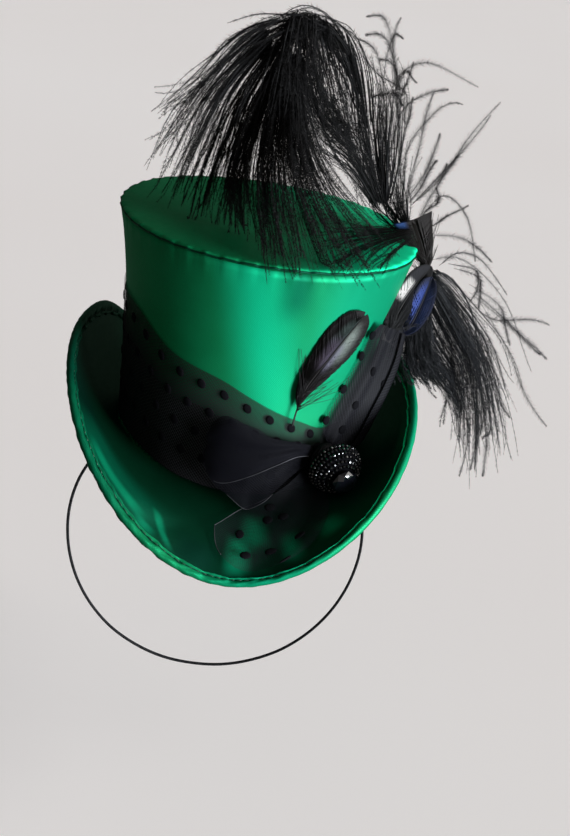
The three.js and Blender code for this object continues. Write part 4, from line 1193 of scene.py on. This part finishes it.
# Top plume: a black ostrich plume whose shaft rises behind the right side and arches over the tip. Its long
# flues fall from the arch like a curtain and spread on the tip, and each flue carries fine barbules.
TOP_SHAFT = np.array([
    (68.3, -15.9, 66), (73, 0, 84), (75.5, 8, 97), (71, 13, 110), (60, 15, 118), (50, 17, 128), (42, 19, 146),
    (33, 18, 168), (20, 15, 187), (6, 10, 199), (-5, 4, 199), (-12, -3, 193), (-14, -7, 185),
]) / 1000
CREST_END = np.array([
    [(2, 8, 205), (-9, 5, 204), (-20, 1, 199), (-31, -3, 189)],
    [(1, 8, 202), (-8, 4, 200), (-18, 0, 193), (-27, -4, 181)],
    [(0, 7, 198), (-7, 3, 196), (-15, -2, 188), (-23, -6, 174)],
    [(-1, 7, 195), (-6, 3, 192), (-12, -2, 184), (-19, -7, 168)],
]) / 1000
CURTAIN = np.array([
    [(-1, 8, 205), (-17, 4, 204), (-27, 0, 202), (-38, -4, 197)],
    [(-11, 6, 203), (-25, 0, 197), (-38, -8, 183), (-57, -16, 159)],
    [(-16, 4, 199), (-31, -6, 186), (-41, -14, 164), (-60, -20, 152)],
    [(-17, 4, 197), (-34, -8, 179), (-49, -16, 156), (-58, -20, 134)],
    [(-16, 4, 195), (-35, -8, 171), (-49, -16, 149), (-53, -20, 120)],
    [(-14, 4, 193), (-31, -8, 170), (-39, -14, 144), (-45, -8, 116)],
    [(-11, 4, 191), (-25, -10, 163), (-29, -14, 135), (-33, -25, 112)],
    [(-7, 4, 190), (-19, -12, 159), (-25, -20, 134), (-24, -14, 113)],
    [(-6, 4, 190), (-15, -14, 159), (-19, -28, 134), (-16, -32, 112)],
    [(-5, 4, 190), (-12, -16, 160), (-13, -34, 136), (-8, -46, 112)],
    [(-4, 4, 189), (-8, -18, 160), (-9, -42, 138), (0, -68, 112)],
    [(-3, 4, 188), (-4, -20, 161), (-3, -48, 140), (5, -72, 109)],
    [(-2, 4, 188), (-1, -20, 162), (3, -50, 140), (22, -68, 105)],
    [(-1, 4, 187), (2, -20, 165), (9, -48, 141), (33, -64, 107)],
    [(0, 4, 186), (4, -16, 164), (14, -42, 140), (42, -58, 110)],
    [(1, 6, 185), (5, -12, 165), (19, -34, 140), (54, -38, 113)],
    [(2, 8, 185), (8, -8, 164), (21, -24, 143), (44, -4, 118)],
    [(4, 10, 188), (12, 0, 167), (24, -8, 149), (42, 0, 128)],
    [(8, 14, 199), (18, 10, 176), (30, 8, 152), (45, 10, 127)],
    [(12, 16, 203), (24, 14, 182), (33, 12, 156), (48, 12, 124)],
    [(19, 18, 201), (29, 18, 178), (37, 16, 151), (50, 14, 122)],
    [(26, 20, 194), (35, 20, 172), (42, 18, 147), (52, 14, 121)],
]) / 1000
ARCH = np.array([
    [(41, 18, 156), (32, 18, 185), (18, 14, 203), (-4, 8, 206)],
    [(32, 18, 171), (21, 16, 194), (6, 12, 205), (-19, 4, 203)],
    [(21, 14, 194), (7, 10, 205), (-10, 4, 205), (-34, -6, 190)],
    [(14, 12, 199), (-1, 6, 206), (-21, -2, 199), (-44, -10, 171)],
]) / 1000
TUFT = np.array([
    [(-9, 4, 204), (-12, -4, 193), (-16, -12, 175), (-18, -18, 148)],
    [(-3, 6, 206), (-4, -2, 196), (-3, -12, 180), (-1, -20, 156)],
    [(3, 8, 206), (5, 2, 194), (7, -6, 178), (13, -12, 156)],
    [(10, 10, 205), (13, 6, 192), (18, 2, 174), (26, 0, 154)],
]) / 1000
INNER = np.array([
    [(49, 10, 126), (34, 4, 149), (15, -4, 163), (-1, 0, 187)],
    [(48, 8, 125), (31, 0, 145), (11, -10, 159), (-4, -4, 182)],
    [(49, 12, 126), (36, 10, 153), (20, 6, 170), (2, 6, 191)],
    [(-1, 4, 195), (5, -6, 173), (20, -10, 155), (42, 0, 143)],
    [(0, 6, 200), (6, 2, 186), (13, -2, 172), (28, 0, 149)],
]) / 1000
RISERS = np.array([
    [(62, 8, 113), (54, 9, 120), (46, 8, 125), (35, 2, 133)],
    [(63, 8, 114), (57, 12, 119), (50, 15, 128), (42, 17, 147)],
    [(64, 8, 114), (59, 12, 124), (53, 14, 136), (46, 16, 154)],
    [(65, 8, 115), (61, 12, 127), (59, 16, 140), (60, 20, 154)],
    [(51, 16, 123), (41, 18, 143), (32, 16, 166), (24, 14, 190)],
    [(50, 14, 125), (41, 12, 152), (33, 8, 175), (28, 4, 195)],
    [(52, 14, 125), (46, 18, 151), (42, 22, 165), (36, 24, 170)],
    [(53, 12, 126), (46, 10, 157), (45, 8, 177), (45, 4, 194)],
    [(54, 12, 126), (54, 16, 153), (49, 22, 178), (38, 26, 199)],
    [(55, 12, 125), (57, 18, 142), (60, 24, 158), (60, 30, 169)],
]) / 1000
RIB_END = 0.0003
FLUE_STEPS = 13
CLEAR = 0.0012
TIP_MARGIN = 0.02
SPIKE_FACES = np.array([[0, 1, 3], [1, 2, 3], [2, 0, 3], [2, 1, 0]])
SPIKE_ANGLES = (0, 2.094, 4.189)


def keep_clear(paths):
    """Moves points out of the crown: up onto the tip from above, or out from the wall."""
    x, y, z = np.moveaxis(paths, -1, 0)
    radius = np.hypot(x, y)
    over_tip = (radius < TIP_RADIUS + CLEAR) & (z > CROWN_HEIGHT - TIP_MARGIN)
    z = np.where(over_tip, np.maximum(z, CROWN_HEIGHT + CLEAR), z)
    wall = crown_radius(np.minimum(z, CROWN_HEIGHT)) + CLEAR
    push = np.where((z < CROWN_HEIGHT) & (radius < wall), wall / np.maximum(radius, 1e-6), 1)
    return np.stack([x * push, y * push, z], -1)


def flues(guides, count, clump, spread, seed, between=True, least=0.72):
    """Flues that follow guide lines of four points. A clump lies at one place between neighbouring guides, or
    on one guide; its flues share a shift that grows towards their ends, and each is a little shorter."""
    draw = np.random.default_rng(seed)
    clumps = count // clump
    place = draw.uniform(0, len(guides) - 1, clumps) if between else np.arange(clumps) % len(guides)
    place = np.repeat(place, clump)
    i = np.minimum(place.astype(int), len(guides) - 2)
    part = (place - i)[:, None, None]
    rows = guides[i] * (1 - part) + guides[i + 1] * part
    t = np.linspace(0, 1, FLUE_STEPS)
    paths = np.moveaxis(through(np.moveaxis(rows, 1, 0), t), 0, 1)
    spread = np.array(spread)
    shift = np.repeat(draw.normal(0, 1, (clumps, 1, 3)), clump, axis=0) * spread
    shift = shift + draw.normal(0, 0.55, (len(place), 1, 3)) * spread
    turns = draw.uniform(0.7, 1.6, (len(place), 1)) * t + draw.uniform(0, 1, (len(place), 1))
    wave = draw.normal(0, 0.5, (len(place), 1, 3)) * spread * (np.sin(2 * math.pi * turns) * t)[..., None]
    length = np.repeat(draw.uniform(least, 1, clumps), clump) + draw.normal(0, 0.03, len(place))
    grown = (paths - paths[:, :1]) * length[:, None, None]
    return keep_clear(paths[:, :1] + grown + shift * (0.25 + 0.75 * t)[None, :, None] + wave)


def barbuled(paths, barbules, seed, half_width, fluff, thick, flare=1.1):
    """Flues with barbules: flat strands that taper, and from each of them on both sides slim closed spikes
    that point forward and shorten towards the flue's end. fluff is a spike's length, thick its half width at
    its foot, and flare how far it leans out."""
    draw = np.random.default_rng(seed)
    count, rings = paths.shape[:2]
    t = np.linspace(0, 1, rings)[None, :]
    roll_way = unit(draw.normal(0, 1, (count, 1, 3)))
    core = strands(paths, roll_way, half_width * (1 - 0.85 * t), 0.6 * half_width * (1 - 0.8 * t))
    place = np.linspace(0.03, 0.995, barbules)[None, :] ** 0.75
    place = np.clip(place + draw.uniform(-0.4, 0.4, (count, barbules)) / barbules, 0, 1)
    shorter = 1 - 0.75 * place[..., None, None] ** 5
    place = place * (rings - 1)
    i = np.minimum(place.astype(int), rings - 2)
    part = (place - i)[..., None]
    row = np.arange(count)[:, None]
    base = paths[row, i] * (1 - part) + paths[row, i + 1] * part
    way = unit(paths[row, i + 1] - paths[row, i])
    side = unit(np.cross(way, roll_way))
    swing = draw.normal(0, 0.6, (count, barbules, 1))
    side = side * np.cos(swing) + np.cross(side, way) * np.sin(swing)
    ahead = way[:, :, None]
    out = np.stack([side, -side], 2)
    go = unit(out * draw.uniform(0.65, 1.35, (count, barbules, 2, 1)) * flare + ahead)
    reach = fluff * shorter * draw.uniform(0.6, 1.15, (count, barbules, 2, 1))
    first_way = unit(np.cross(go, ahead))
    second_way = np.cross(go, first_way)
    foot = base[:, :, None]
    corners = [foot + thick * (first_way * math.cos(a) + second_way * math.sin(a)) for a in SPIKE_ANGLES]
    spikes = np.stack([*corners, foot + go * reach], -2).reshape(-1, 4, 3)
    return joined(core, (spikes, [copies(SPIKE_FACES, len(spikes), 4)]))


def rib(shaft, across, steps, half_width, half_height):
    """A plume's shaft: one strand along a cubic through its points, which thins evenly to its end."""
    path = through(shaft, np.linspace(0, 1, steps))
    widths, heights = (np.linspace(root, RIB_END, steps) for root in (half_width, half_height))
    return strands(path[None], across, widths, heights)


def ostrich_finish(name, dark, light, gloss):
    """Dyed black ostrich between two dark tones, with a soft gloss."""
    made = Finish(name)
    tone = made.noise(400, 3)
    return made.surface(
        Base_Color=made.mix(tone, dark, light), Roughness=0.45 + tone * 0.2, Specular_IOR_Level=gloss)


ostrich = ostrich_finish("black_ostrich", (0.0015, 0.0015, 0.0016, 1), (0.0055, 0.005, 0.005, 1), 0.15)
BEHIND = np.array([1, -0.6, 1.0])
BEHIND_SHIFT = np.array([0, 0.011, 0])
TOP_SIDE = np.array([0.364, -0.931, 0])
top_rib = rib(TOP_SHAFT, TOP_SIDE, 60, 0.0011, 0.0009)
top_paths = np.concatenate([
    flues(CURTAIN[:2], 2, 1, (0.002, 0.003, 0.002), 50, between=False, least=0.95),
    flues(CURTAIN[1:], 150, 2, (0.003, 0.005, 0.003), 21, least=0.88),
    flues(CURTAIN[3:13], 30, 2, (0.004, 0.005, 0.003), 28, least=0.75),
    flues(CURTAIN[2:8], 24, 2, (0.005, 0.006, 0.004), 30, least=0.6),
    flues(CURTAIN[1:] * BEHIND + BEHIND_SHIFT, 20, 2, (0.003, 0.006, 0.003), 22)])
top_plume = joined(top_rib, barbuled(top_paths, 72, 25, 0.00037, 0.003, 0.0001))
piece("plume_over_tip", *top_plume, ostrich, "black_ostrich", ["plume_top"])
fall_paths = flues(CURTAIN[5:16], 110, 2, (0.004, 0.005, 0.003), 38, least=0.9)
fall = barbuled(fall_paths, 90, 39, 0.0004, 0.0042, 0.00015, 0.5)
piece("plume_over_tip_fall", *fall, ostrich, "black_ostrich")
crest_paths = np.concatenate([
    flues(TUFT, 84, 2, (0.004, 0.004, 0.004), 26),
    flues(CREST_END, 30, 2, (0.0015, 0.003, 0.0015), 51, least=0.85),
    flues(CURTAIN[6:20], 60, 2, (0.005, 0.006, 0.004), 29, least=0.5),
    flues(ARCH, 60, 2, (0.003, 0.005, 0.0035), 23)])
crest = barbuled(crest_paths, 54, 27, 0.0004, 0.003, 0.00012)
piece("plume_over_tip_crest", *crest, ostrich, "black_ostrich")
root_paths = np.concatenate([
    flues(INNER, 110, 2, (0.005, 0.006, 0.005), 31),
    flues(RISERS, 110, 2, (0.003, 0.004, 0.004), 24)])
root = barbuled(root_paths, 38, 36, 0.00034, 0.0026, 0.0001)
piece("plume_over_tip_root", *root, ostrich, "black_ostrich")


# Strays of the top plume: single flues that stand out from the mass, and a comb of flues at its foot that
# sweeps over the tip to its front edge.
TOP_STRAYS = np.array([
    [(61, 16, 123), (49, 22, 176), (44, 26, 195), (44, 30, 214)],
    [(60, 16, 123), (47, 12, 182), (36, 6, 208), (25, 0, 209)],
    [(49, 20, 147), (44, 20, 183), (58, 16, 198), (79, 8, 193)],
    [(55, 18, 129), (46, 24, 170), (38, 30, 195), (28, 34, 201)],
    [(28, 16, 192), (39, 10, 184), (51, 4, 177), (54, 0, 167)],
    [(52, 20, 148), (54, 26, 167), (65, 34, 175), (77, 42, 179)],
    [(55, 18, 144), (52, 16, 173), (53, 12, 181), (54, 8, 190)],
    [(64, 14, 125), (65, 18, 148), (67, 24, 168), (70, 32, 183)],
    [(60, 16, 131), (59, 10, 155), (66, 2, 170), (76, -8, 178)],
    [(65, 14, 125), (79, 20, 142), (87, 28, 159), (101, 36, 181)],
    [(65, 14, 126), (71, 10, 139), (74, 4, 149), (77, -4, 160)],
    [(72, 12, 121), (80, 6, 134), (93, 0, 126), (101, -6, 108)],
    [(75, 12, 115), (83, 16, 119), (89, 22, 123), (99, 30, 128)],
    [(76, 12, 113), (90, 20, 112), (101, 28, 105), (108, 34, 98)],
    [(71, 12, 118), (76, 20, 127), (82, 28, 135), (85, 36, 142)],
]) / 1000
COMB = np.array([
    [(67, 6, 118), (53, -1, 116), (39, -7, 115), (26, -3, 113)],
    [(67, -1, 118), (50, -13, 116), (35, -23, 115), (20, -34, 113)],
    [(65, -8, 118), (47, -27, 116), (34, -51, 115), (24, -76, 113)],
    [(64, -14, 118), (50, -31, 116), (41, -50, 115), (34, -68, 113)],
    [(64, -18, 118), (57, -34, 116), (51, -47, 115), (47, -57, 113)],
]) / 1000
stray_paths = np.concatenate([
    flues(TOP_STRAYS, 15, 1, (0.002, 0.003, 0.002), 32, between=False, least=0.92),
    flues(TOP_STRAYS, 10, 1, (0.004, 0.006, 0.004), 37, least=0.7)])
comb_paths = flues(COMB, 54, 2, (0.003, 0.004, 0.001), 33, least=0.8)
strays = joined(
    barbuled(stray_paths, 240, 34, 0.00014, 0.0036, 0.00006),
    barbuled(comb_paths, 60, 35, 0.00026, 0.003, 0.0001, 0.6))
piece("plume_over_tip_strays", *strays, ostrich, "black_ostrich")


# Side plume: a second black ostrich plume, sewn on at the same place as the first. Its shaft bends out to
# the right, and its flues fall beside the brim, with single ones that stand out from the mass.
SIDE_SHAFT = np.array([
    (69.7, -14.6, 63), (76, 2, 80), (80, 10, 90), (86, 14, 94), (94, 16, 90), (103, 17, 80), (110, 18, 66),
    (115, 18, 50), (118, 17, 36),
]) / 1000
SIDE_FAN = np.array([
    [(80, 12, 98), (94, 18, 91), (110, 22, 72), (127, 24, 58)],
    [(82, 12, 95), (99, 18, 81), (120, 22, 59), (136, 22, 31)],
    [(81, 12, 93), (99, 18, 75), (120, 20, 51), (132, 20, 26)],
    [(82, 12, 90), (100, 17, 69), (121, 18, 42), (134, 18, 6)],
    [(81, 12, 88), (98, 16, 65), (118, 17, 38), (132, 16, -9)],
    [(81, 12, 82), (97, 16, 60), (116, 16, 34), (127, 14, -12)],
    [(81, 12, 77), (96, 15, 56), (114, 15, 31), (123, 12, -19)],
    [(81, 12, 68), (93, 14, 53), (109, 14, 34), (119, 12, 7)],
    [(81, 12, 63), (91, 14, 51), (105, 13, 37), (115, 12, 20)],
    [(80, 12, 57), (88, 13, 48), (98, 13, 41), (108, 12, 33)],
    [(79, 12, 53), (84, 12, 45), (91, 12, 41), (99, 12, 38)],
]) / 1000
SIDE_FILL = np.array([
    [(72, -4, 75), (70, -16, 69), (70, -24, 62), (74, -28, 53)],
    [(76, 0, 74), (75, -12, 68), (75, -21, 61), (80, -25, 53)],
    [(81, 4, 74), (81, -6, 66), (83, -16, 60), (87, -20, 52)],
]) / 1000
SIDE_FOOT = np.array([
    [(77, 4, 84), (73, 2, 72), (73, 2, 62), (77, 4, 50)],
    [(80, 8, 81), (77, 6, 69), (76, 6, 59), (80, 7, 44)],
    [(81, 8, 79), (80, 6, 64), (80, 6, 54), (85, 7, 42)],
    [(83, 10, 76), (84, 8, 61), (85, 8, 51), (91, 10, 41)],
    [(84, 10, 74), (88, 10, 59), (91, 10, 50), (99, 10, 41)],
]) / 1000
SIDE_STRAYS = np.array([
    [(80, 13, 100), (100, 20, 101), (128, 28, 78), (153, 34, 41)],
    [(92, 15, 93), (113, 12, 76), (130, 6, 78), (147, 0, 80)],
    [(102, 16, 87), (123, 22, 74), (139, 28, 64), (153, 34, 53)],
    [(109, 18, 80), (124, 12, 61), (135, 8, 42), (149, 4, 26)],
    [(89, 14, 100), (103, 6, 102), (104, 0, 96), (100, -4, 85)],
    [(101, 16, 90), (119, 26, 79), (125, 30, 68), (130, 34, 56)],
    [(87, 12, 60), (96, 8, 49), (101, 4, 32), (103, 2, 15)],
    [(93, 14, 81), (113, 16, 36), (121, 16, 5), (121, 14, -17)],
    [(101, 16, 82), (120, 14, 33), (125, 14, 5), (127, 14, -12)],
    [(107, 17, 77), (125, 18, 32), (129, 18, 4), (131, 18, -12)],
    [(110, 18, 72), (126, 22, 42), (132, 24, 28), (138, 26, 17)],
    [(83, 14, 99), (90, 22, 106), (104, 32, 102), (118, 40, 86)],
]) / 1000
SIDE_SIDE = np.array([0, 1.0, 0])
side_rib = rib(SIDE_SHAFT, SIDE_SIDE, 50, 0.001, 0.0008)
side_paths = np.concatenate([
    flues(SIDE_FAN[2:], 104, 2, (0.0028, 0.006, 0.0028), 41, least=0.6),
    flues(SIDE_FAN[1:5], 70, 2, (0.005, 0.006, 0.004), 46, least=0.7),
    flues(SIDE_FAN[4:9], 20, 2, (0.003, 0.005, 0.003), 49, least=0.7),
    flues(SIDE_FILL, 52, 2, (0.004, 0.003, 0.003), 47, least=0.9),
    flues(SIDE_FOOT, 44, 2, (0.003, 0.004, 0.003), 45)])
side_plume = joined(side_rib, barbuled(side_paths, 72, 42, 0.00028, 0.0034, 0.0001, 0.8))
# Painted light: the side plume's ostrich is a lighter, bluer copy of the same black, for the light it catches
# at the side.
side_ostrich_painted_lighter = ostrich_finish("side_ostrich_painted_lighter", (0.003, 0.0033, 0.004, 1), (0.009, 0.0098, 0.012, 1), 0.22)
piece("plume_at_side", *side_plume, side_ostrich_painted_lighter, "black_ostrich", ["plume_side"])
side_stray_paths = np.concatenate([
    flues(SIDE_STRAYS, 12, 1, (0.002, 0.003, 0.002), 43, between=False, least=0.92),
    flues(SIDE_STRAYS, 10, 1, (0.004, 0.006, 0.004), 48, least=0.75)])
side_strays = barbuled(side_stray_paths, 240, 44, 0.00014, 0.0036, 0.00006)
piece("plume_at_side_strays", *side_strays, side_ostrich_painted_lighter, "black_ostrich")
